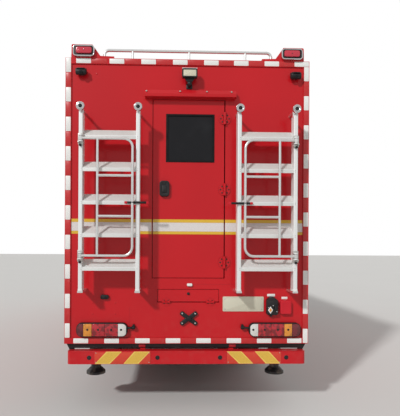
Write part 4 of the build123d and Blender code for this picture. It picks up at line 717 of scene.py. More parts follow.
def rearDoorPieces():
    back = wallFace + door["sealBack"]
    lap = door["sealLap"]
    seal = frameAround("rear_door_seal", (door["x"][0] - lap, back - 0.006, door["z"][0] - lap),
                       (door["x"][1] + lap, back + 0.002, door["z"][1] + lap), door["sealIn"])
    fitted(seal, blackRubber)
    lip, low, high = door["lip"], wallFace + 0.0015, wallFace + 0.012
    for name, (gx0, gx1), (gz0, gz1) in (("rear_door_lip", door["cutX"], door["cutZ"]),
                                         ("rear_hatch_lip", door["hatchX"], door["hatchZ"])):
        bottom = gz0 if name == "rear_door_lip" else gz0 + door["hatchLift"]
        edges = [slab("lip", (gx0 - skin, low, bottom), (gx0 + lip, high, gz1), 0, 0.001),
                 slab("lip", (gx0 - skin, low, gz1 - lip), (gx1, high, gz1 + skin), 0, 0.001)]
        if name == "rear_door_lip":
            edges.append(slab("lip", (gx0 - skin, low, gz0 - skin), (gx1, high, gz0 + lip), 0, 0.001))
        else:
            edges.append(slab("lip", (gx1 - lip, low, bottom), (gx1 + skin, high, gz1), 0, 0.001))
        fitted(joined(name, edges), redPaint)
    x0, x1, z0, z1 = door["window"]
    gasket = frameAround("rear_window_gasket", (x0 - 0.006, wallFace - 0.005, z0 - 0.006),
                         (x1 + 0.006, wallFace + 0.0055, z1 + 0.006), 0.020, 0.0, 0.002)
    fitted(gasket, windowRubber, "rear_door")
    hx0, hx1, hz0, hz1 = door["handle"]
    shell = onWall("rear_door_handle", (hx0, hx1), (hz0, hz1), 0.0325, 0.031, 0.004, 6)
    insetFront(shell, lambda middle, normal: normal.y < -facing and middle.y < wallFace - 0.031, *handleInset)
    lever = slab("lever", (hx0 + 0.026, wallFace - 0.037, hz0 + 0.040),
                 (hx1 - 0.026, wallFace - 0.031, hz1 - 0.050), 0.012, 0.0015)
    key = drum("key", ((hx0 + hx1) / 2, wallFace - 0.036, hz1 - 0.028),
               ((hx0 + hx1) / 2, wallFace - 0.031, hz1 - 0.028), 0.009)
    fitted(joined("rear_door_handle", [shell, lever, key]), blackPlastic, "rear_door")
    lamp = onWall("rear_sill_lamp", *wallTrim["sillLamp"], 0.022, 0.010, 0.003)
    fitted(lamp, whitePlastic)
    lockX, lockZ = door["hatchLock"]
    lock = turned("hatch_lock", [(-skin, 0), (-skin, 0.015), (0.006, 0.014), (0.010, 0.009), (0.016, 0.008),
                                 (0.018, 0)], (lockX, wallFace, lockZ), (0, -1, 0), 24)
    fitted(lock, blackPlastic, "rear_hatch")
    fitted(studs("canopy_screws", [(x, wallFace - 0.068, wallTrim["canopyZ"]) for x in wallTrim["canopyX"]],
                 (0, -0.8, 0.6), 0.010, 0.005), zincSteel)
    fitted(studs("rear_wall_rivets", [(x, wallFace, z) for x, z in wallTrim["rivets"]], (0, -1, 0),
                 0.010, 0.004), redPaint)


def wallSeams():
    # the filled joints between the wall's sheets
    seams = [onWall("seam", *span, 0.0008, 0, 0.0003) for span in wallTrim["seams"]]
    fitted(joined("rear_wall_seams", seams), darkRedPaint)


rearDoorPieces()
wallSeams()
print("rear door done")

# Cameras, work lamp, sockets, plate and clips on the rear wall
cameraAt = {"left": (-1.086, 3.440), "right": (1.099, 3.432)}
workLamp = {"x": (-0.068, 0.088), "z": (3.371, 3.465), "front": 0.105, "back": 0.045}
plate = {"x": (0.366, 0.790), "z": (1.009, 1.162), "thick": 0.004}
socketBox = {"x": (0.809, 0.932), "z": (0.980, 1.159), "deep": 0.055}
redCover = {"x": (0.947, 1.074), "z": (0.980, 1.130), "deep": 0.045, "inset": (0.012, -0.0015)}
clip = {"middle": (0.016, 0.939), "reach": 0.084, "rise": 0.062, "wide": 0.044,
        "thick": 0.014, "stand": 0.012}
lowFitting = {"x": (-0.884, -0.799), "z": (1.134, 1.179), "deep": 0.030}


def rearCamera(side):
    x, z = cameraAt[side]
    foot = onWall("foot", (x - 0.030, x + 0.030), (z - 0.028, z + 0.032), 0.010, 0.008, 0.002)
    arm = slab("arm", (x - 0.044, wallFace - 0.070, z + 0.018),
               (x + 0.044, wallFace - 0.006, z + 0.026), 0.006, 0.002)
    case = drum("case", (x - 0.052, wallFace - 0.046, z - 0.006),
                (x + 0.052, wallFace - 0.046, z - 0.006), 0.031, None, 24, 0.006)
    hood = slab("hood", (x - 0.040, wallFace - 0.084, z + 0.012),
                (x + 0.040, wallFace - 0.040, z + 0.022), 0.010, 0.003)
    barrel = drum("barrel", (x, wallFace - 0.050, z - 0.008), (x, wallFace - 0.083, z - 0.024),
                  0.021, 0.019, 24, 0.002)
    ears = [slab("ear", (x + s * 0.050, wallFace - 0.060, z - 0.020),
                 (x + s * 0.055, wallFace - 0.030, z + 0.026), 0.006, 0.001) for s in (-1, 1)]
    fitted(joined(f"rear_camera_{side}", [case, foot, arm, hood, barrel] + ears), blackPlastic)
    front = Vector((x, wallFace - 0.0835, z - 0.0243))
    eye = turned(f"rear_camera_lens_{side}", [(-0.001, 0), (-0.001, 0.013), (0.001, 0.012), (0.0028, 0.006),
                                              (0.0032, 0)], front, (0, -0.90, -0.436), 24)
    fitted(eye, darkGlass)


def workLampPieces():
    (x0, x1), (z0, z1) = workLamp["x"], workLamp["z"]
    front, back = wallFace - workLamp["front"], wallFace - workLamp["back"]
    middle = (x0 + x1) / 2
    case = slab("case", (x0 + 0.004, front + 0.012, z0 + 0.008), (x1 - 0.004, back, z1 - 0.004), 0, 0.003)
    rim = frameAround("rim", (x0, front, z0 + 0.004), (x1, front + 0.016, z1), 0.013, 0.018, 0.002)
    fins = [slab("fin", (x0 + 0.012, back - 0.002, z0 + 0.016 + i * 0.012),
                 (x1 - 0.012, back + 0.014, z0 + 0.020 + i * 0.012), 0, 0.0008) for i in range(6)]
    yoke = outlined("yoke", [(x0 + 0.020, front + 0.026, z0 + 0.012), (x0 + 0.052, front + 0.026, z0 - 0.034),
                             (x1 - 0.052, front + 0.026, z0 - 0.034), (x1 - 0.020, front + 0.026, z0 + 0.012),
                             (x0 + 0.020, front + 0.026, z0 + 0.012)], (0, 0.016, 0), 0.002)
    ball = turned("ball", [(-0.026, 0), (-0.024, 0.012), (-0.014, 0.022), (0, 0.026), (0.014, 0.022),
                           (0.024, 0.012), (0.026, 0)], (middle, front + 0.034, z0 - 0.052), (0, 0, 1), 24)
    neck = drum("neck", (middle, front + 0.034, z0 - 0.054),
                (middle, wallFace - 0.004, z0 - 0.054), 0.012, 0.016)
    foot = onWall("foot", (middle - 0.032, middle + 0.032), (z0 - 0.082, z0 - 0.028), 0.008, 0.010, 0.002)
    fitted(joined("work_lamp", [case, rim, yoke, ball, neck, foot] + fins), blackPlastic)
    # a white strip along the top of the lamp: a painted highlight
    paintedHighlight = slab("work_lamp_painted_highlight", (x0 + 0.002, front + 0.002, z1 - 0.003),
                (x1 - 0.002, back - 0.010, z1 + 0.0045), 0, 0.0015)
    fitted(paintedHighlight, whitePlastic)
    pane = slab("work_lamp_lens", (x0 + 0.0125, front + 0.004, z0 + 0.0165),
                (x1 - 0.0125, front + 0.013, z1 - 0.0125), 0.005, 0.0012)
    fitted(pane, creamLens)


def plateAndSockets():
    (x0, x1), (z0, z1) = plate["x"], plate["z"]
    face = wallFace - plate["thick"]
    sheet = slab("sheet", (x0, face, z0), (x1, wallFace + skin, z1), 0.010, 0.001)
    border = frameAround("border", (x0 + 0.007, face - 0.0012, z0 + 0.007),
                         (x1 - 0.007, face + 0.0004, z1 - 0.007), 0.004, 0.008, 0.0005)
    fitted(joined("blank_plate", [sheet, border]), platedSheet)
    fitted(studs("plate_screws",
                 [(x, face - 0.0004, z) for x in (x0 + 0.022, x1 - 0.022) for z in (z0 + 0.024, z1 - 0.024)],
                 (0, -1, 0), 0.0065, 0.003), zincSteel)
    (x0, x1), (z0, z1) = socketBox["x"], socketBox["z"]
    front = wallFace - socketBox["deep"]
    middle = (x0 + x1) / 2
    case = slab("case", (x0 + 0.004, front, z0), (x1 - 0.004, wallFace + skin, z1 - 0.020), 0.016, 0.005)
    dome = drum("dome", (middle, front + 0.004, z1 - 0.050), (middle, wallFace, z1 - 0.050),
                0.050, 0.0565, 32, 0.004)
    lid = slab("lid", (x0 + 0.012, front - 0.008, z0 + 0.088),
               (x1 - 0.012, front + 0.003, z1 - 0.030), 0.020, 0.004)
    catch = slab("catch", (middle + 0.018, front - 0.014, z0 + 0.050),
                 (middle + 0.040, front + 0.002, z0 + 0.094), 0.006, 0.002)
    tail = drum("tail", (middle - 0.010, front + 0.026, z0 + 0.006),
                (middle - 0.010, front + 0.026, z0 - 0.020), 0.014, 0.011)
    fitted(joined("socket_box", [case, dome, lid, catch, tail]), blackPlastic)
    fitted(studs("socket_screws",
                 [(x0 + 0.020, front, z0 + 0.076), (x1 - 0.018, front, z0 + 0.034),
                  (middle + 0.004, front - 0.008, z0 + 0.098)], (0, -1, 0), 0.006, 0.003), chrome)
    at = (middle - 0.022, front - 0.0005, z0 + 0.051)
    for name, size, rise, finish in (("pilot_lamp_rim", 0.030, 0.003, whitePlastic),
                                     ("pilot_lamp", 0.017, 0.005, amberLens)):
        points = [(at[0] + size * across, at[1], at[2] + size * up)
                  for across, up in ((0, -1.25), (0.85, 0), (0, 1.25), (-0.85, 0), (0, -1.25))]
        fitted(outlined(name, points, (0, -rise, 0), 0.0008), finish, slot="lamp_plastic")
    (x0, x1), (z0, z1) = redCover["x"], redCover["z"]
    front = wallFace - redCover["deep"]
    cover = slab("red_cover", (x0 + 0.006, front, z0 + 0.006),
                 (x1 - 0.006, wallFace - 0.006, z1 - 0.006), 0.020, 0.007)
    insetFront(cover, lambda middle, normal: normal.y < -facing and middle.y < front + 0.001,
               redCover["inset"])
    flange = onWall("flange", (x0, x1), (z0, z1), 0.010, 0.022, 0.002)
    fitted(joined("red_cover", [cover, flange]), redPlastic)
    tabs = [onWall("tab", *span, 0.0015, 0.003, 0.0004) for span in wallTrim["tabs"]]
    fitted(joined("blank_tabs", tabs), whitePlastic)


def clipAndFitting():
    x, z = clip["middle"]
    reach, rise = clip["reach"], clip["rise"]
    bars, ends = [], []
    for side in (-1, 1):
        start = Vector((x - reach, wallFace - clip["stand"] - clip["thick"] / 2, z - side * rise))
        end = Vector((x + reach, wallFace - clip["stand"] - clip["thick"] / 2, z + side * rise))
        along = (end - start).normalized()
        across = Vector((-along.z, 0, along.x)) * clip["wide"] / 2
        lift = Vector((0, 0.5 + side * 0.5, 0)) * clip["thick"] * 0.35
        points = [start - across + along * 0.010, start - across * 0.5, start + across * 0.5,
                  start + across + along * 0.010, end + across - along * 0.010, end + across * 0.5,
                  end - across * 0.5, end - across - along * 0.010]
        bars.append(outlined("bar", [p - lift for p in points] + [points[0] - lift],
                             (0, clip["thick"], 0), 0.003))
        for tip, inward in ((start, along), (end, -along)):
            point = tip + inward * 0.022
            ends.append((point.x, point.y - clip["thick"] * 0.1 - lift.y, point.z))
            bars.append(drum("spacer", point, (point.x, wallFace + skin, point.z), 0.010))
    bars.append(drum("hub", (x, wallFace - 0.036, z), (x, wallFace + skin, z), 0.024, 0.028, 24, 0.003))
    fitted(joined("spare_tool_clip", bars), blackPlastic)
    fitted(studs("spare_tool_clip_screws", ends, (0, -1, 0), 0.008, 0.004), zincSteel)
    (x0, x1), (z0, z1) = lowFitting["x"], lowFitting["z"]
    base = onWall("low_fitting", (x0, x1), (z0, z1), lowFitting["deep"], 0.018, 0.008)
    cap = drum("cap", ((x0 + x1) / 2, wallFace - 0.040, z0 + 0.020),
               ((x0 + x1) / 2, wallFace - 0.020, z0 + 0.020), 0.013)
    fitted(joined("low_fitting", [base, cap]), blackPlastic)


for side in cameraAt:
    rearCamera(side)
workLampPieces()
plateAndSockets()
clipAndFitting()
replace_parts(bpy.data.objects["socket_box"], "rear_fittings")
print("rear wall fittings done")

# Tail lamps, their stalk lamps, and the corner beacons
tailLamp = {"z": (0.757, 0.897), "deep": 0.050, "corner": 0.052, "rim": 0.008, "bulb": 0.012}
# side, ends of the case, then lens edges from the left with each finish
tailLamps = (
    ("left", -1.121, -0.607,
     ((-1.112, -1.049, darkRedLens), (-1.049, -0.965, amberLens), (-0.965, -0.835, redLens),
      (-0.835, -0.701, redLens), (-0.701, -0.617, whiteLens))),
    ("right", 0.633, 1.163,
     ((0.642, 0.723, whiteLens), (0.723, 0.857, redLens), (0.857, 0.991, redLens),
      (0.991, 1.070, amberLens), (1.070, 1.154, darkRedLens))),
)
stalkLamps = {"left": (-0.546, 1), "right": (0.566, -1)}
beacon = {"x": (0.955, 1.172), "z": (3.597, 3.708), "deep": 0.030, "lens": (0.980, 1.140, 3.622, 3.686)}


def sliced(block, name, low, high):
    # the stretch of a long piece between two upright cuts
    part = copyAt(block, (0, 0, 0))
    part.name = name
    for x, clearIn in ((low, True), (high, False)):
        takeUp(part)
        bpy.ops.object.mode_set(mode="EDIT")
        bpy.ops.mesh.select_all(action="SELECT")
        bpy.ops.mesh.bisect(plane_co=(x, 0, 0), plane_no=(1, 0, 0), use_fill=True, clear_inner=clearIn,
                            clear_outer=not clearIn)
        bpy.ops.object.mode_set(mode="OBJECT")
    easeEdges(part, 0.0012)
    return faceOut(part)


def tailLampPieces():
    z0, z1 = tailLamp["z"]
    front = wallFace - tailLamp["deep"]
    first = None
    for side, x0, x1, parts in tailLamps:
        case = slab("case", (x0, front, z0), (x1, wallFace + skin, z1), tailLamp["corner"], 0.004, 8)
        fitted(case, blackRubber, slot="lamp_plastic").name = f"tail_lamp_case_{side}"
        first = first or case
        rim = tailLamp["rim"]
        block = slab("lensBlock", (x0 + rim, front - 0.010, z0 + rim), (x1 - rim, front + 0.004, z1 - rim),
                     tailLamp["corner"] - rim, 0.003, 8)
        for index, (low, high, finish) in enumerate(parts):
            part = sliced(block, f"tail_lens_{side}_{index + 1}", low + 0.0012, high - 0.0012)
            fitted(part, finish, slot="lamp_plastic")
        bpy.data.objects.remove(block)
        screwX = [(low + high) / 2 for low, high, finish in parts[1:4]]
        low, high, finish = parts[4] if side == "left" else parts[0]
        screwX.append(low * 0.62 + high * 0.38)
        bulbs = [(x, front - 0.0098, (z0 + z1) / 2 + 0.004) for x in screwX]
        fitted(studs(f"tail_lamp_screws_{side}", bulbs, (0, -1, 0), tailLamp["bulb"], 0.002),
               blackPlastic, slot="lamp_plastic")
        tip, way = stalkLamps[side]
        y, z = wallFace - 0.034, 0.848
        root = x1 - 0.006 if side == "left" else x0 + 0.006
        stem = drum("stem", (root, y, z - 0.004), (tip - way * 0.020, y, z), 0.011, 0.009)
        head = turned("head",
                      [(-0.020, 0), (-0.020, 0.013), (-0.014, 0.019), (0.010, 0.019), (0.018, 0.012),
                       (0.020, 0)], (tip, y, z), (way, 0, 0), 20)
        bracket = slab("bracket", (tip - 0.010, y - 0.004, z - 0.012),
                       (tip + 0.010, wallFace + skin, z + 0.030), 0, 0.003)
        fitted(joined(f"stalk_lamp_{side}", [stem, head, bracket]), blackRubber)
    return first


def beaconPieces():
    (x0, x1), (z0, z1) = beacon["x"], beacon["z"]
    front = rearFace - beacon["deep"]
    lx0, lx1, lz0, lz1 = beacon["lens"]
    # the black well round the lens is painted shade for the recess inside the chrome rim
    well = slab("well", (x0 + 0.004, front + 0.003, z0 + 0.004),
                (x1 - 0.004, rearFace + 0.001, z1 - 0.004), 0.026, 0.003, 6)
    rim = frameAround("rim", (x0, front - 0.002, z0), (x1, rearFace + 0.001, z1), 0.011, 0.030, 0.003)
    lensPiece = slab("lens", (lx0, front - 0.012, lz0), (lx1, front + 0.006, lz1), 0.018, 0.006, 6)
    middle = stud("middle", ((lx0 + lx1) / 2, front - 0.0118, (lz0 + lz1) / 2), (0, -1, 0), 0.007, 0.002)
    for name, piece, finish in (("beacon_shade_well", well, blackPlastic), ("beacon_rim", rim, chrome),
                                ("beacon_lens", lensPiece, beaconLens),
                                ("beacon_screw", middle, darkRedLens)):
        piece.name = f"{name}_right"
        bothSides(piece, finish, slot="lamp_plastic")


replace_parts(tailLampPieces(), "rear_lamps")
beaconPieces()
print("rear lamps done")

# Rear bumper: hazard boards, parking sensors, seams, and a black bar above it that is painted shade for the
# gap under the body
bumper = {"back": rearFace - 0.050, "z": (0.485, 0.616), "sensorX": (-0.988, -0.300, 0.334, 1.011),
          "sensorZ": 0.550, "board": 0.0016, "lipX": 1.170, "seamX": (-0.368, 0.400),
          "bracketX": (-0.460, 0.470), "bracketZ": (0.638, 0.668), "barX": 1.185, "barZ": (0.628, 0.684),
          "end": ((1.240, 0.684), (1.180, 0.684), (1.150, 0.600), (1.196, 0.600), (1.240, 0.684))}
# outline of each board, then the foot and head of its yellow bands, left to right
hazardBoards = (
    ("left", -0.934, -0.372, ((-0.930, -0.780, -0.814, -0.660), (-0.643, -0.492, -0.535, -0.376))),
    ("right", 0.404, 0.956, ((0.527, 0.672, 0.402, 0.552), (0.800, 0.948, 0.688, 0.834))),
)


def bumperPieces():
    z0, z1 = bumper["z"]
    back = bumper["back"]
    for side, x0, x1, bands in hazardBoards:
        board = slab("board", (x0, back - bumper["board"], z0 + 0.003),
                     (x1, back + skin, z1 - 0.003), 0.004, 0.0004, 3)
        fitted(board, boardOrange).name = f"hazard_board_{side}"
        for index, (foot0, foot1, head0, head1) in enumerate(bands):
            for label, inset, rise, finish in (("rim", 0.0, 0.0006, boardBrightYellow),
                                               ("band", 0.011, 0.0010, boardYellow)):
                y = back - bumper["board"] + skin
                low, high = z0 + 0.004 + inset * 0.6, z1 - 0.004 - inset * 0.6
                points = [(foot0 + inset, y, low), (foot1 - inset, y, low), (head1 - inset, y, high),
                          (head0 + inset, y, high), (foot0 + inset, y, low)]
                part = outlined(f"hazard_{label}_{side}_{index + 1}", points, (0, -rise - skin, 0))
                fitted(part, finish, slot="red_paint")
    eyes = []
    for x in bumper["sensorX"]:
        eyes.append(turned("sensor",
                           [(-0.010, 0), (-0.010, 0.0218), (0.001, 0.0218), (0.003, 0.019), (0.0015, 0.014),
                            (0.0035, 0.008), (0.0040, 0)], (x, back, bumper["sensorZ"]), (0, -1, 0), 28))
    fitted(joined("parking_sensors", eyes), blackPlastic)
    lip = slab("bumper_lip", (-bumper["lipX"], back - 0.002, z1 - 0.010),
               (bumper["lipX"], back + 0.010, z1 + 0.0015), 0, 0.0012)
    fitted(lip, redPaint)
    seams = [slab("seam", (x - 0.0012, back - 0.0006, z0 + 0.002), (x + 0.0012, back + skin, z1 - 0.002), 0,
                  0) for x in bumper["seamX"]]
    fitted(joined("bumper_seams", seams), darkRedPaint)
    rivets = [(x, back - bumper["board"], z) for side, x0, x1, bands in hazardBoards
              for x in (x0 + 0.014, x1 - 0.014) for z in (z0 + 0.018, z1 - 0.018)]
    fitted(studs("board_rivets", rivets, (0, -1, 0), 0.005, 0.002), zincSteel)
    # a black bar set back in the gap between the bumper and the body: painted shade for the gap
    low, high = bumper["barZ"]
    bar = slab("under_body_bar", (-bumper["barX"], rearFace + 0.030, low),
               (bumper["barX"], rearFace + 0.080, high), 0, 0.006)
    ends = [outlined("end", [(s * x, rearFace + 0.034, z) for x, z in bumper["end"]], (0, 0.030, 0), 0.003)
            for s in (-1, 1)]
    fitted(joined("under_body_bar", [bar] + ends), blackPlastic)
    # the brackets in the gap take the darker red paint: painted shade
    low, high = bumper["bracketZ"]
    brackets = [slab("bracket", (x - 0.034, rearFace + 0.020, low), (x + 0.034, rearFace + 0.034, high),
                     0.004, 0.002) for x in bumper["bracketX"]]
    fitted(joined("member_brackets", brackets), darkRedPaint)


bumperPieces()
print("rear bumper done")

# Ladders: ribbed treads, stile caps, and the knobs on the hooks
ladder = {"x": (0.515, 1.027), "lips": (1.438, 1.762, 2.079, 2.400, 2.714), "lipHigh": 0.034, "rise": 0.076,
          "back": rearFace - 0.230, "deep": 0.106, "ribs": 7, "ribWide": 0.004, "ribHigh": 0.002,
          "lipRibs": (0.006, 0.015, 0.024), "rivetX": (0.5000, 1.0420), "rivetRise": (0.010, 0.026),
          "capX": (0.474, 1.026), "capWide": 0.042, "capZ": (1.240, 1.262)}
hook = {"x": (0.495, 1.047), "z": 3.020, "y": rearFace - 0.234}


def ladderPieces():
    x0, x1 = ladder["x"]
    start = Vector((0, ladder["back"] + 0.004, ladder["lipHigh"]))
    end = start + Vector((0, ladder["deep"], ladder["rise"]))
    along = (end - start).normalized()
    lean = math.atan2(along.z, along.y)
    ribs = []
    for index in range(ladder["ribs"]):
        at = start + (end - start) * ((index + 0.7) / (ladder["ribs"] + 0.4))
        rib = slab("rib", (x0, at.y - ladder["ribWide"] / 2, at.z - 0.0006),
                   (x1, at.y + ladder["ribWide"] / 2, at.z + ladder["ribHigh"]), 0, 0.0006, 1)
        takeUp(rib)
        bpy.ops.transform.rotate(value=-lean, orient_axis="X", center_override=(0, at.y, at.z))
        ribs.append(named(rib, "rib"))
    lipRibs = [slab("lipRib", (x0, ladder["back"] + 0.0025, z), (x1, ladder["back"] + 0.0045, z + 0.003), 0,
                    0.0006, 1) for z in ladder["lipRibs"]]
    tread = joined("tread", ribs + lipRibs)
    treads = [copyAt(tread, (0, 0, z)) for z in ladder["lips"]]
    bpy.data.objects.remove(tread)
    bothSides(joined("tread_ribs_right", treads), treadAluminium)
    rivetPoints = [(x, ladder["back"], z + rise) for z in ladder["lips"] for rise in ladder["rivetRise"]
                   for x in ladder["rivetX"]]
    bothSides(studs("stile_rivets_right", rivetPoints, (0, -1, 0), 0.0045, 0.002), zincSteel)
    low, high = ladder["capZ"]
    caps = [slab("cap", (x, ladder["back"] - 0.001, low),
                 (x + ladder["capWide"], ladder["back"] + 0.101, high), 0, 0.003) for x in ladder["capX"]]
    bothSides(joined("stile_caps_right", caps), whitePlastic)


def hookPieces():
    rims, centres = [], []
    for x in hook["x"]:
        at = (x, hook["y"] - 0.028, hook["z"])
        rims.append(turned("rim",
                           [(-0.026, 0.0405), (-0.004, 0.0412), (0.002, 0.038), (0.004, 0.030),
                            (0.001, 0.024), (-0.004, 0.022), (-0.006, 0)], at, (0, -1, 0), 32))
        centres.append(turned("centre",
                              [(-0.006, 0), (-0.006, 0.021), (0.002, 0.019), (0.007, 0.012), (0.009, 0)], at,
                              (0, -1, 0), 24))
    for name, parts, finish in (("hook_knob_rims", rims, chrome),
                                ("hook_knob_centres", centres, blackRubber)):
        bothSides(joined(f"{name}_right", parts), finish, slot="polished_steel")


# Handrails: hinge clamps on the outer stile, stops, and the straps that hold them shut
railFit = {"y": rearFace - 0.260, "x": 1.040, "z": (2.710, 1.585), "strapZ": 2.098, "strap": (0.408, 0.600)}


def handrailPieces():
    clamps, stops = [], []
    y, x = railFit["y"], railFit["x"]
    for z in railFit["z"]:
        clamps.append(slab("clamp", (x - 0.022, y + 0.014, z - 0.062),
                           (x + 0.030, y + 0.032, z + 0.052), 0.006, 0.003))
        clamps.append(slab("cheek", (x + 0.012, y - 0.010, z - 0.046),
                           (x + 0.028, y + 0.020, z - 0.030), 0, 0.002))
        stops.append(drum("stop", (x + 0.006, y - 0.002, z - 0.064), (x + 0.006, y + 0.020, z - 0.064),
                          0.012, None, 20, 0.003))
    bothSides(joined("handrail_clamps_right", clamps), zincSteel)
    bothSides(joined("handrail_stops_right", stops), blackRubber)
    low, high = railFit["strap"]
    z = railFit["strapZ"]
    band = slab("strap", (low, y + 0.0140, z - 0.011), (high, y + 0.0185, z + 0.011), 0, 0.001)
    loop = ring("loop", (0.545, y, z), (0, 0, 1), 0.0156, 0.004, 24, 8)
    toggle = drum("toggle", (low + 0.012, y + 0.010, z), (low + 0.062, y + 0.010, z), 0.009, None, 16, 0.002)
    bothSides(joined("strap_right", [band, loop, toggle]), blackRubber, "handrail_right")
    tips = [slab("tip", (high - 0.004, y + 0.0125, z - 0.012), (high + 0.022, y + 0.0200, z + 0.012), 0.004,
                 0.001),
            slab("tip", (low - 0.020, y + 0.0125, z - 0.012),
                 (low + 0.004, y + 0.0200, z + 0.012), 0.004, 0.001)]
    bothSides(joined("strap_tips_right", tips), redPlastic, "handrail_right")


ladderPieces()
hookPieces()
handrailPieces()
print("ladders and handrails done")

# Box sides: window gaskets, side door fittings, drip rail, tape, marker lamps and latches
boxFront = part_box("box_front_wall")[1].y
sideWindows = ((-1, rearFace + 1.020), (-1, boxFront - 2.170), (1, rearFace + 1.020))
sideWindow = {"long": 1.000, "z": (2.300, 2.900), "corner": 0.046, "lap": 0.006,
              "wide": 0.024, "proud": 0.006}
sideDoor = {"y": (boxFront - 1.020, boxFront - 0.220), "z": (1.354, 3.250)}
sideTape = {"z": 0.706, "start": -4.130, "end": 0.780, "arch": (-2.440, -1.220), "thick": 0.0012,
            "long": 0.142, "room": 0.146, "pitch": 0.150}
flapSpans = {"front": (-1.140, 0.750), "rear": (-3.800, -2.520)}
latch = {"half": 0.060, "z": (0.765, 0.845), "inset": (0.007, -0.004), "keyZ": 0.779}
markerLamp = {"y": (-4.120, -1.100, 0.600), "long": 0.090, "z": (1.1185, 1.1435)}


def sidePieces():
    for index, (side, start) in enumerate(sideWindows):
        z0, z1 = sideWindow["z"]
        lap = sideWindow["lap"]
        low = (side * (sideFace - 0.006), start - lap, z0 - lap)
        high = (side * (sideFace + sideWindow["proud"]), start + sideWindow["long"] + lap, z1 + lap)
        gasket = frameAround(f"side_window_gasket_{index + 1}", low, high, sideWindow["wide"],
                             sideWindow["corner"], 0.002)
        fitted(gasket, blackRubber)
    (y0, y1), (z0, z1) = sideDoor["y"], sideDoor["z"]
    shell = onFlank("side_door_handle", (y0 + 0.062, y0 + 0.160),
                    (z0 + 0.820, z0 + 0.980), 0.032, 0.031, 0.004, 6)
    insetFront(shell, lambda middle, normal: normal.x > facing and middle.x > sideFace + 0.031, *handleInset)
    lever = slab("lever", (sideFace + 0.030, y0 + 0.088, z0 + 0.860),
                 (sideFace + 0.036, y0 + 0.134, z0 + 0.930), 0.012, 0.0015)
    fitted(joined("side_door_handle", [shell, lever]), blackPlastic, "side_door")
    seal = frameAround("side_door_seal", (sideFace - 0.060, y0 - 0.0108, z0 - 0.0108),
                       (sideFace - 0.052, y1 + 0.0108, z1 + 0.0108), 0.024)
    fitted(seal, blackRubber)
    section = ((-skin, 0.050), (0.022, 0.034), (0.026, 0.040), (0.004, 0.062), (-skin, 0.062), (-skin, 0.050))
    rail = outlined("side_door_drip_rail", [(sideFace + proud, y0 - 0.060, z1 + up) for proud, up in section],
                    (0, y1 - y0 + 0.120, 0))
    fitted(rail, redPaint)
    white, red = [], []
    y = sideTape["start"]
    index = 0
    z = (sideTape["z"] - 0.024, sideTape["z"] + 0.018)
    while y + sideTape["room"] < sideTape["end"]:
        if y + sideTape["room"] < sideTape["arch"][0] or y > sideTape["arch"][1]:
            block = onFlank("block", (y, y + sideTape["long"]), z, sideTape["thick"], 0.005, 0.0, 3)
            (white if index % 2 == 0 else red).append(block)
        y += sideTape["pitch"]
        index += 1
    for name, blocks, finish in (("side_tape_white", white, whiteTape), ("side_tape_red", red, redTape)):
        bothSides(joined(f"{name}_right", blocks), finish, slot="red_paint")
    lamps = [onFlank("marker", (y, y + markerLamp["long"]), markerLamp["z"], 0.012, 0.008, 0.003)
             for y in markerLamp["y"]]
    bothSides(joined("marker_lamps_right", lamps), amberLens)
    for place, (low, high) in flapSpans.items():
        for share, label in ((0.25, "a"), (0.75, "b")):
            y = low + (high - low) * share
            tray = onFlank("tray", (y - latch["half"], y + latch["half"]), latch["z"], 0.006, 0.012, 0.002)
            insetFront(tray, lambda middle, normal: normal.x > facing and middle.x > sideFace + 0.005,
                       latch["inset"])
            paddle = slab("paddle", (sideFace + 0.001, y - 0.042, 0.790),
                          (sideFace + 0.010, y + 0.042, 0.832), 0.006, 0.002)
            keyhole = stud("keyhole", (sideFace + 0.0015, y, latch["keyZ"]), (1, 0, 0), 0.006, 0.003)
            bothSides(joined(f"latch_{place}_{label}_right", [tray, paddle, keyhole]), zincSteel,
                      f"locker_{place}_right")


sidePieces()

# Screws of the hinge leaves: round leaves on the doors, small ones on the hatch and the lockers; and a dark
# red ring round each leaf, which is painted shade at its edge
# seal: how far the painted shade ring reaches from the leaf's middle, across the pin and along it
roundLeaf = {"ring": 0.042, "turns": (-52, 0, 52), "thick": 0.008, "radius": 0.0085, "rise": 0.003,
             "seal": (0.0655, 0.0655)}
smallLeaf = {"ring": 0.0265, "turns": (-50, 50), "thick": 0.005, "radius": 0.0055, "rise": 0.003,
             "seal": (0.0410, 0.0450)}
shadeRingRise = 0.0012      # how far the painted shade ring round each leaf stands out
shadeRingTurns = range(-78, 79, 12)
hinges = {
    "rear_door": {"points": [(0.3785, wallFace, z) for z in (1.513, 2.261, 2.990)], "leaf": roundLeaf,
                  "wall": (1, 0, 0), "pin": (0, 0, 1), "out": (0, -1, 0)},
    "rear_hatch": {"points": [(x, wallFace, 1.1065) for x in (-0.216, 0.236)], "leaf": smallLeaf,
                   "wall": (0, 0, -1), "pin": (1, 0, 0), "out": (0, -1, 0)},
    "side_door": {"points": [(sideFace, 2.1555, z) for z in (1.560, 2.300, 3.050)], "leaf": roundLeaf,
                  "wall": (0, 1, 0), "pin": (0, 0, 1), "out": (1, 0, 0)},
    "cab_door": {"points": [(cabSide, 4.2445, z) for z in (1.380, 1.800)], "leaf": roundLeaf,
                 "wall": (0, 1, 0), "pin": (0, 0, 1), "out": (1, 0, 0), "on": "cab", "mirrored": True},
    "locker_front": {"points": [(sideFace, y, 1.1125) for y in (-0.920, 0.530)], "leaf": smallLeaf,
                     "wall": (0, 0, 1), "pin": (0, 1, 0), "out": (1, 0, 0), "mirrored": True},
    "locker_rear": {"points": [(sideFace, y, 1.1125) for y in (-3.580, -2.740)], "leaf": smallLeaf,
                    "wall": (0, 0, 1), "pin": (0, 1, 0), "out": (1, 0, 0), "mirrored": True},
}


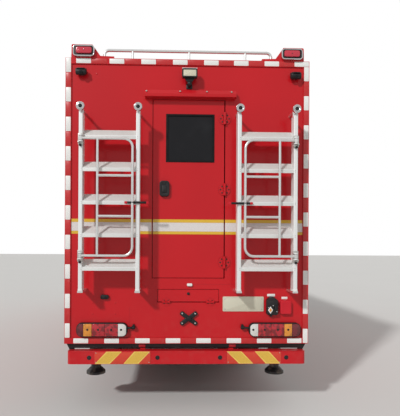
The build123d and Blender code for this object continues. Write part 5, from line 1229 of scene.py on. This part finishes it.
def hingeScrews():
    for name, place in hinges.items():
        leaf = place["leaf"]
        wall, pin, out = (Vector(place[key]) for key in ("wall", "pin", "out"))
        for side, body in ((1, place.get("on", "truck")), (-1, name)):
            points, shadeRings = [], []
            for start in place["points"]:
                # a flat dark red ring round each leaf: painted shade at the leaf's edge
                arc = []
                for turn in map(math.radians, shadeRingTurns):
                    arc.append(Vector(start) + out * shadeRingRise + wall * side * math.cos(turn) * leaf["seal"][0]
                               + pin * math.sin(turn) * leaf["seal"][1])
                shadeRings.append(outlined("bead", arc + arc[:1], out * -(shadeRingRise + skin)))
                for turn in map(math.radians, leaf["turns"]):
                    spoke = wall * side * math.cos(turn) + pin * math.sin(turn)
                    points.append(Vector(start) + out * leaf["thick"] + spoke * leaf["ring"])
            rides = body + "_right" if body == name and place.get("mirrored") else body
            label = "wall" if side > 0 else "leaf"
            fit = bothSides if place.get("mirrored") else fitted
            fit(joined(f"{name}_sealant_{label}_right", shadeRings), darkRedPaint, rides)
            screws = studs(f"{name}_screws_{label}_right", points, out, leaf["radius"], leaf["rise"], 10)
            fit(screws, blackPlastic, rides, "dark_steel")


hingeScrews()

# Mud flaps, tank bands, battery straps, and plates on the cab steps
tank = {"x": (-1.190, -0.600), "y": (boxFront - 1.470, boxFront - 0.220),
        "z": (0.560, 1.120), "corner": 0.1115}
battery = {"x": (0.600, 1.190), "y": (boxFront - 1.500, boxFront - 1.090), "z": (0.560, 1.120)}
cabStep = {"x": (0.936, 1.136), "y": (3.880, 4.360), "lows": (0.470, 0.810), "barX": 0.946, "barPitch": 0.026,
           "barWide": 0.008, "barY": (3.900, 4.340), "bars": 8}
mudFlaps = (("rear", -2.4702, (0.620, 1.232), (0.270, 0.730)),
            ("front", 2.5340, (0.865, 1.145), (0.300, 0.700)))


def underPieces():
    for place, y, (x0, x1), (z0, z1) in mudFlaps:
        sheet = slab("sheet", (x0, y, z0), (x1, y + 0.008, z1), 0.012, 0.0015)
        ribs = [slab("rib", (x0 + 0.030 + (x1 - x0 - 0.070) * i / 6, y + 0.0075, z0 + 0.030),
                     (x0 + 0.040 + (x1 - x0 - 0.070) * i / 6, y + 0.011, z1 - 0.060), 0, 0.001)
                for i in range(7)]
        bar = slab("bar", (x0, y + 0.006, z1 - 0.045), (x1, y + 0.016, z1 - 0.010), 0, 0.002)
        bothSides(joined(f"mud_flap_{place}_right", [sheet, bar] + ribs), blackRubber)
    (x0, x1), (z0, z1) = tank["x"], tank["z"]
    bands = []
    for share in (0.2, 0.5, 0.8):
        y = tank["y"][0] + (tank["y"][1] - tank["y"][0]) * share
        bands.append(frameAround("band", (x0 - 0.003, y - 0.025, z0 - 0.003),
                                 (x1 + 0.003, y + 0.025, z1 + 0.003), 0.0040, tank["corner"], 0.0008, 10))
    fitted(joined("tank_bands", bands), zincSteel)
    y = tank["y"][0] + 0.120
    cap = turned("fuel_cap",
                 [(-0.002, 0), (-0.002, 0.060), (0.006, 0.060), (0.008, 0.050), (0.022, 0.048),
                  (0.027, 0.042), (0.027, 0.016), (0.022, 0.012), (0.022, 0)], (x0, y, 0.900), (-1, 0, 0), 40)
    fitted(cap, blackPlastic)
    x0, x1 = battery["x"]
    (y0, y1), (z0, z1) = battery["y"], battery["z"]
    lip = slab("lip", (x0 - 0.004, y0 - 0.004, z1 - 0.060), (x1 + 0.006, y1 + 0.004, z1 + 0.004), 0, 0.004)
    straps = [slab("strap", (x1 - 0.002, y - 0.020, z0 + 0.160), (x1 + 0.010, y + 0.020, z1 - 0.020), 0.006,
                   0.003) for y in (y0 + 0.090, y1 - 0.090)]
    fitted(joined("battery_lid", [lip] + straps), blackPlastic)
    plates = []
    (x0, x1), (y0, y1), (near, far) = cabStep["x"], cabStep["y"], cabStep["barY"]
    for low in cabStep["lows"]:
        plates.append(slab("plate", (x0, y0, low - skin), (x1, y1, low + 0.003), 0.004, 0.001))
        for x in (cabStep["barX"] + i * cabStep["barPitch"] for i in range(cabStep["bars"])):
            plates.append(slab("bar", (x, near, low + 0.002),
                               (x + cabStep["barWide"], far, low + 0.005), 0, 0.001))
    bothSides(joined("cab_step_plates_right", plates), treadAluminium)


underPieces()
print("sides and under parts done")

# Wheels: treaded tyres in place of the plain ones, wheel nuts and hub caps
axles = {"front": 3.170, "rear": -1.830}
tyreX = {"front": 1.025, "rear": 1.080, "twin": -0.330}
# each ring of nuts or bolts: its ends along the axle, its radius, their number and size
nutRings = {"front": (1.100, 1.136, 0.1675, 10, 0.0165), "rear": (0.924, 0.966, 0.1675, 10, 0.0165),
            "cap": (1.204, 1.213, 0.090, 8, 0.009)}
wheelZ = 0.522
tyreForm = {"steps": 108, "base": 0.5085, "top": 0.522, "lugs": 54}
# place along the axle and radius, from the bead to the shoulder
sideProfile = ((0.1055, 0.2863), (0.1355, 0.3110), (0.1395, 0.3200), (0.1405, 0.3240), (0.1425, 0.3250),
               (0.1445, 0.3400), (0.1472, 0.3900), (0.1475, 0.4150), (0.1470, 0.4350), (0.1482, 0.4365),
               (0.1480, 0.4430), (0.1464, 0.4440), (0.1440, 0.4600), (0.1400, 0.4750), (0.1350, 0.4880),
               (0.1270, 0.5000), (0.1180, 0.5070))
tyreGrooves = (0.020, 0.068)
grooveHalf = 0.0045


def treadProfile():
    # half of the tread from the shoulder to its middle, with grooves cut down to the base
    top, base = tyreForm["top"], tyreForm["base"]
    points = []
    for groove in reversed(tyreGrooves):
        foot = grooveHalf * 0.6
        points += [(groove + grooveHalf, top), (groove + foot, base + 0.001), (groove - foot, base + 0.001),
                   (groove - grooveHalf, top)]
    return points


def tyrePiece(name, x, y):
    centre = (x, y, wheelZ)
    shoulder = [(0.1120, tyreForm["base"]), (0.0985, tyreForm["base"] + 0.001), (0.0975, tyreForm["top"])]
    half = list(sideProfile) + shoulder + treadProfile()
    profile = half + [(-along, radius) for along, radius in reversed(half)] + [half[0]]
    body = turned(name, profile, centre, (1, 0, 0), tyreForm["steps"])
    lugs = []
    step = 2 * math.pi / tyreForm["lugs"]
    for side in (-1, 1):
        inner, outer = side * 0.0990, side * 0.1330
        shape = [(inner, -0.40, tyreForm["top"] - 0.0004), (outer * 0.90, -0.34, tyreForm["top"] - 0.0030),
                 (outer, -0.32, 0.5050), (outer * 1.040, -0.30, 0.4860)]
        low = [(along, turn * step, radius) for along, turn, radius in shape]
        high = [(along, -turn * step, radius) for along, turn, radius in shape]

        def outline(share, sunk):
            return [(x + along * share, y + (radius - sunk) * math.sin(turn),
                     wheelZ + (radius - sunk) * math.cos(turn)) for along, turn, radius in low + high[::-1]]

        points, root = outline(1.0, 0.0), outline(0.97, 0.020)
        clearSelection()
        mesh = bpy.data.meshes.new("lug")
        top = [(i, i + 1, 6 - i, 7 - i) for i in range(3)]
        bottom = [tuple(8 + v for v in reversed(face)) for face in top]
        rim = [(i, (i + 8), (i + 1) % 8 + 8, (i + 1) % 8) for i in range(8)]
        mesh.from_pydata(points + root, [], top + bottom + rim)
        lug = bpy.data.objects.new("lug", mesh)
        bpy.context.scene.collection.objects.link(lug)
        faceOut(lug)
        lugs += [lug] + [copyTurned(lug, 360 / tyreForm["lugs"] * i, "X", centre)
                         for i in range(1, tyreForm["lugs"])]
    return joined(name, [body] + lugs)


def nutRing(y, x0, x1, radius, count, size, sides=6):
    first = drum("nut", (x0, y, wheelZ + radius), (x1, y, wheelZ + radius), size, None, sides, 0.001)
    tip = drum("tip", (x1 - 0.001, y, wheelZ + radius), (x1 + 0.010, y, wheelZ + radius),
               size * 0.55, size * 0.45, 12, 0.001)
    first = joined("nut", [first, tip])
    rest = [copyTurned(first, 360 / count * i, "X", (0, y, wheelZ)) for i in range(1, count)]
    return [first] + rest


def wheelPieces():
    front, rear = axles["front"], axles["rear"]
    tyre = tyrePiece("front_tread_right", tyreX["front"], front)
    outer = tyrePiece("outer", tyreX["rear"], rear)
    inner = copyAt(outer, (tyreX["twin"], 0, 0))
    pair = joined("rear_treads_right", [outer, inner])
    for piece, body, node in ((tyre, "front_wheel", "front_tyre"), (pair, "rear_wheels", "rear_tyres")):
        right, left = bothSides(piece, tyreBlack, f"{body}_right")
        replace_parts(right, f"{node}_right")
        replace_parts(left, f"{node}_left")
    frontNuts, rearNuts = nutRing(front, *nutRings["front"]), nutRing(rear, *nutRings["rear"])
    capBolts = nutRing(rear, *nutRings["cap"])
    frontCap = turned("cap",
                      [(-0.004, 0), (-0.004, 0.132), (0.004, 0.130), (0.007, 0.118), (0.007, 0.098),
                       (0.016, 0.094), (0.022, 0.074), (0.024, 0.040), (0.024, 0)],
                      (1.179, front, wheelZ), (1, 0, 0), 48)
    rearCap = turned("cap",
                     [(-0.004, 0), (-0.004, 0.112), (0.003, 0.110), (0.004, 0.070), (0.010, 0.064),
                      (0.012, 0.040), (0.012, 0)], (1.2075, rear, wheelZ), (1, 0, 0), 48)
    for name, parts, body, finish, slot in (
            ("front_wheel_nuts", frontNuts, "front_wheel", zincSteel, "polished_steel"),
            ("rear_wheel_nuts", rearNuts, "rear_wheels", zincSteel, "polished_steel"),
            ("front_hub_cap", [frontCap], "front_wheel", wheelSilver, "wheel_steel"),
            ("rear_hub_cap", [rearCap] + capBolts, "rear_wheels", wheelSilver, "wheel_steel")):
        bothSides(joined(f"{name}_right", parts), finish, f"{body}_right", slot)


wheelPieces()
print("wheels done")

# Cab outside: window gaskets, grille mesh, headlamps, door handles, wipers, mirror glass and light bar
screen = {"low": (4.540, 1.930), "high": (4.310, 2.800)}
sideSlope = {"start": 1.990, "lean": 0.070 / 0.830}
screenHalf = 1.000
screenHeight = (1.990, 2.760)
rearPane = {"y": (2.660, 3.040), "z": (2.020, 2.690)}
doorPane = ((3.240, 1.960), (4.155, 1.960), (3.985, 2.710), (3.240, 2.710))
grille = {"half": 0.560, "z": (1.290, 1.840), "y": 4.540, "frame": 0.034}
headlamp = {"x": (0.642, 1.008), "z": (0.542, 0.678), "y": (4.558, 4.594), "bowls": (0.722, 0.858),
            "turn": 0.932, "corner": 0.018, "radius": 0.055}
mirror = {"x": (1.246, 1.384), "y": 4.300, "main": (2.150, 2.500), "wide": (2.040, 2.135)}
lightBar = {"x": 0.700, "y": (3.740, 4.020), "z": (2.975, 3.090), "bandX": 0.430, "slots": 5}
wiperX = ((0.560, 0.120), (-0.120, -0.560))    # the pivot of each wiper, then the middle of its blade
doorHandle = {"y": (3.215, 3.400), "z": (1.640, 1.720), "barY": (3.235, 3.370), "barZ": (1.668, 1.696),
              "lock": (3.386, 1.656)}


def onScreen(x, share, off):
    # a point on the windscreen's slope, off its face
    (y0, z0), (y1, z1) = screen["low"], screen["high"]
    slope = Vector((0, z1 - z0, y0 - y1)).normalized()
    return Vector((x, y0 + (y1 - y0) * share, z0 + (z1 - z0) * share)) + slope * off


def onSide(y, z):
    # a point on the cab's side, which leans in above the belt
    return Vector((cabSide - max(0.0, z - sideSlope["start"]) * sideSlope["lean"], y, z))


def gasketLoop(name, corners, radius, ease):
    # a round rubber bead that follows a window's corners
    points = [(corners[-1] + corners[0]) / 2]
    for index, corner in enumerate(corners):
        before, after = corners[index - 1], corners[(index + 1) % len(corners)]
        points += [corner + (before - corner).normalized() * ease, corner,
                   corner + (after - corner).normalized() * ease]
    points.append(points[0])
    return pipe(name, points, radius)


def cabWindowPieces():
    low, high = ((z - screen["low"][1]) / (screen["high"][1] - screen["low"][1]) for z in screenHeight)
    corners = [onScreen(x * screenHalf, share, 0.001)
               for x, share in ((-1, low), (1, low), (1, high), (-1, high))]
    fitted(gasketLoop("windscreen_gasket", corners, 0.009, 0.085), blackRubber, "cab")
    (y0, y1), (z0, z1) = rearPane["y"], rearPane["z"]
    corners = [onSide(y, z) for y, z in ((y0, z0), (y1, z0), (y1, z1), (y0, z1))]
    bothSides(gasketLoop("cab_side_gasket_right", corners, 0.006, 0.040), blackRubber, "cab")
    corners = [onSide(y, z) for y, z in doorPane]
    bothSides(gasketLoop("cab_door_gasket_right", corners, 0.006, 0.012), blackRubber, "cab_door_right")
    inside = grille["frame"] - 0.006
    mesh = slab("grille_mesh", (-grille["half"] + inside, grille["y"] - skin, grille["z"][0] + inside),
                (grille["half"] - inside, grille["y"] + 0.001, grille["z"][1] - inside), 0.028, 0.0)
    fitted(mesh, blackPlastic, "cab")


def headlampPieces():
    (x0, x1), (z0, z1) = headlamp["x"], headlamp["z"]
    y0, y1 = headlamp["y"]
    middle = (z0 + z1) / 2
    radius = headlamp["radius"]
    back = slab("back", (x0, y0, z0), (x1, y0 + 0.004, z1), headlamp["corner"], 0.0)
    rim = frameAround("rim", (x0, y0 + 0.003, z0), (x1, y1 - 0.001, z1), 0.006, headlamp["corner"], 0.0008)
    bowls, bulbs = [], []
    for x in headlamp["bowls"]:
        at = (x, y0 + 0.004, middle)
        bowls.append(turned("bowl",
                            [(0.026, radius), (0.012, radius * 0.82), (0.002, radius * 0.35), (0, 0.008),
                             (0, 0)], at, (0, 1, 0), 40))
        bowls.append(ring("bowl_rim", (x, y0 + 0.030, middle), (0, 1, 0), radius, 0.0025))
        bulbs.append(turned("bulb",
                            [(0, 0.007), (0.014, 0.007), (0.018, 0.004), (0.019, 0)], at, (0, 1, 0), 20))
    lamp = slab("turn_lamp_right", (headlamp["turn"], y0 + 0.003, z0 + 0.010),
                (x1 - 0.008, y0 + 0.030, z1 - 0.010), 0.010, 0.002)
    cover = slab("headlamp_lens_right", (x0 + 0.0055, y1 - 0.004, z0 + 0.0055),
                 (x1 - 0.0055, y1 - 0.0005, z1 - 0.0055), 0.013, 0.0006)
    housing = joined("headlamp_housings", [back, rim])
    housing = fitted(joined("headlamp_housings", [housing, otherSide(housing)]), blackPlastic)
    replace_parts(housing, "headlamps")
    for right, finish, slot in ((joined("headlamp_bowls_right", bowls), chrome, "lamp_glass"),
                                (joined("headlamp_bulbs_right", bulbs), whiteLens, "lamp_glass"),
                                (lamp, amberLens, "lamp_plastic"), (cover, lampGlass, "lamp_glass")):
        bothSides(right, finish, slot=slot)


def cabPieces():
    (y0, y1), (z0, z1) = doorHandle["y"], doorHandle["z"]
    shell = slab("handle", (cabSide - skin, y0, z0), (cabSide + 0.010, y1, z1), 0.020, 0.003, 5)
    (y0, y1), (z0, z1) = doorHandle["barY"], doorHandle["barZ"]
    bar = slab("bar", (cabSide + 0.004, y0, z0), (cabSide + 0.030, y1, z1), 0.010, 0.004)
    lock = drum("lock", (cabSide + 0.004, *doorHandle["lock"]), (cabSide + 0.013, *doorHandle["lock"]), 0.009)
    bothSides(joined("cab_door_handle_right", [shell, bar, lock]), blackPlastic, "cab_door_right")
    wipers = []
    for x, tip in wiperX:
        root, end = onScreen(x, 0.012, 0.020), onScreen(tip, 0.150, 0.026)
        elbow = onScreen((x + tip) / 2, 0.110, 0.034)
        wipers.append(drum("pivot", onScreen(x, 0.012, -0.004), onScreen(x, 0.012, 0.030), 0.020, 0.016))
        wipers.append(pipe("arm", [root, elbow, end], 0.007))
        blade = ((tip + 0.310, 0.105, 0.016), (tip, 0.150, 0.018), (tip - 0.300, 0.195, 0.016))
        wipers.append(pipe("blade", [onScreen(*point) for point in blade], 0.006))
    fitted(joined("wipers", wipers), blackPlastic, "cab")
    panes = [slab("pane", (mirror["x"][0], mirror["y"] - 0.0015, z0),
                  (mirror["x"][1], mirror["y"] + skin, z1), 0.014, 0.0006)
             for z0, z1 in (mirror["main"], mirror["wide"])]
    bothSides(joined("mirror_glass_right", panes), mirrorGlass, "cab")
    (y0, y1), (z0, z1) = lightBar["y"], lightBar["z"]
    bands = [slab("middle", (-0.170, y0 - 0.002, z0 - 0.001), (0.170, y1 + 0.002, z1 + 0.002), 0, 0.016),
             slab("foot", (-lightBar["x"] + 0.060, y0 + 0.020, z0 - 0.008),
                  (lightBar["x"] - 0.060, y1 - 0.020, z0 + 0.004), 0, 0.003)]
    bands += [slab("band", (x - 0.010, y0 - 0.0015, z0 - 0.001), (x + 0.010, y1 + 0.0015, z1 + 0.0015), 0,
                   0.010) for x in (-lightBar["bandX"], lightBar["bandX"])]
    slots = [slab("slot", (-0.130, y1 + 0.001, z0 + 0.024 + i * 0.014),
                  (0.130, y1 + 0.005, z0 + 0.030 + i * 0.014), 0, 0.001) for i in range(lightBar["slots"])]
    fitted(joined("light_bar_frame", bands + slots), blackPlastic, "cab")


cabPieces()
cabWindowPieces()
headlampPieces()
print("cab outside done")

# Cab inside: padded seats and their frames, and the dashboard's hood, panel, vents, dials and display
seat = {"x": (-0.640, 0.640), "wide": 0.520, "front": 3.640, "deep": 0.500, "cushion": (1.620, 1.750),
        "floor": 1.245, "headZ": (0.552, 0.650), "backHigh": 0.540, "backLean": 0.090}
dash = {"y": 4.110, "top": 1.900, "hoodX": (-0.840, -0.440), "panelX": (-0.200, 0.180),
        "ventX": (-0.300, 0.300, 0.780), "dialX": (-0.710, -0.580), "displayX": (-0.170, 0.150)}


def cushion(name, low, high, lean=0.0):
    # an upholstered block: stretched over its foam by pressure, then smoothed
    piece = slab(name, low, high, 0, 0.030, 4)
    if lean:
        for vertex in piece.data.vertices:
            vertex.co.y -= lean * (vertex.co.z - low[2]) / (high[2] - low[2])
    takeUp(piece)
    remesh = piece.modifiers.new("skin", "REMESH")
    remesh.mode = "VOXEL"
    remesh.voxel_size = 0.014
    bpy.ops.object.modifier_apply(modifier="skin")
    cloth = piece.modifiers.new("cover", "CLOTH")
    cloth.settings.use_pressure = True
    cloth.settings.uniform_pressure_force = 4.0
    cloth.settings.tension_stiffness = 30
    cloth.settings.compression_stiffness = 30
    cloth.settings.effector_weights.gravity = 0.0
    cloth.point_cache.frame_start = 1
    cloth.point_cache.frame_end = 12
    for step in range(1, 13):
        bpy.context.scene.frame_set(step)
    bpy.ops.object.modifier_apply(modifier="cover")
    bpy.context.scene.frame_set(1)
    smooth = piece.modifiers.new("even", "SMOOTH")
    smooth.iterations = 3
    bpy.ops.object.modifier_apply(modifier="even")
    return piece


def seatPieces():
    cushions, frames = [], []
    half = seat["wide"] / 2
    z0, z1 = seat["cushion"]
    front, floor, top = seat["front"], seat["floor"], z1 + seat["backHigh"]
    rear = front - seat["deep"]
    headLow, headHigh = seat["headZ"]
    for x in seat["x"]:
        left, right = x - half, x + half
        cushions.append(cushion("pad", (left + 0.070, rear + 0.100, z0 + 0.020),
                                (right - 0.070, front - 0.004, z1 + 0.012)))
        for s in (-1, 1):
            cushions.append(cushion("bolster", (x + s * (half - 0.075), rear + 0.100, z0 + 0.012),
                                    (x + s * (half - 0.002), front - 0.012, z1 + 0.030)))
            cushions.append(cushion("wing", (x + s * (half - 0.080), rear + 0.020, z1 + 0.010),
                                    (x + s * (half - 0.006), rear + 0.145, z1 + 0.520), 0.075))
        cushions.append(cushion("backrest", (left + 0.075, rear + 0.010, z1),
                                (right - 0.075, rear + 0.125, top), 0.080))
        cushions.append(cushion("headrest", (x - 0.130, rear - 0.082, z1 + headLow),
                                (x + 0.130, rear + 0.020, z1 + headHigh), 0.014))
        frames.append(slab("pan", (left + 0.010, rear + 0.010, z0 - 0.010),
                           (right - 0.010, front - 0.020, z0 + 0.030), 0.020, 0.006))
        frames.append(slab("base", (left + 0.062, rear + 0.042, floor),
                           (right - 0.062, front - 0.062, z0 - 0.008), 0.012, 0.004))
        frames.append(slab("rail", (left + 0.040, rear + 0.030, floor),
                           (right - 0.040, front - 0.050, floor + 0.017), 0.006, 0.003))
        plate = slab("shell", (left + 0.020, rear - 0.012, z0 + 0.020),
                     (right - 0.020, rear + 0.030, z1 + 0.530), 0.050, 0.006)
        for vertex in plate.data.vertices:
            vertex.co.y -= seat["backLean"] * max(0.0, vertex.co.z - z1) / seat["backHigh"]
        frames.append(plate)
        frames += [drum("post", (x + s * 0.060, rear - 0.030, z1 + 0.500),
                        (x + s * 0.060, rear - 0.036, z1 + 0.580), 0.007) for s in (-1, 1)]
    padded = joined("seat_cushions", cushions)
    fitted(padded, seatCloth, "cab", smooth=60)
    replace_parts(padded, "cab_seats")
    fitted(joined("seat_frames", frames), greyPlastic, "cab")


def dashPieces():
    y, top = dash["y"], dash["top"]
    x0, x1 = dash["hoodX"]
    hood = slab("hood", (x0, y - 0.010, top - 0.004), (x1, y + 0.170, top + 0.050), 0, 0.020, 4)
    x0, x1 = dash["panelX"]
    panel = slab("panel", (x0, y - 0.016, top - 0.250), (x1, y + 0.060, top - 0.060), 0.014, 0.006)
    vents = [slab("vent", (x - 0.075, y + 0.020, top - 0.050 - 0.010 * i),
                  (x + 0.075, y + 0.060, top - 0.046 - 0.010 * i), 0, 0.001)
             for x in dash["ventX"] for i in range(4)]
    fitted(joined("dash_fittings", [hood, panel] + vents), blackPlastic, "cab")
    dials = [turned("dial", [(0, 0), (0, 0.052), (0.006, 0.054), (0.008, 0.050), (0.004, 0.046), (0.004, 0)],
                    (x, y - 0.010, top + 0.012), (0, -0.94, 0.34), 32) for x in dash["dialX"]]
    fitted(joined("dials", dials), whitePlastic, "cab", "grey_plastic")
    x0, x1 = dash["displayX"]
    display = slab("display", (x0, y - 0.0175, top - 0.165), (x1, y - 0.0155, top - 0.075), 0.006, 0.0004)
    fitted(display, darkGlass, "cab")


seatPieces()
dashPieces()
print("cab inside done")
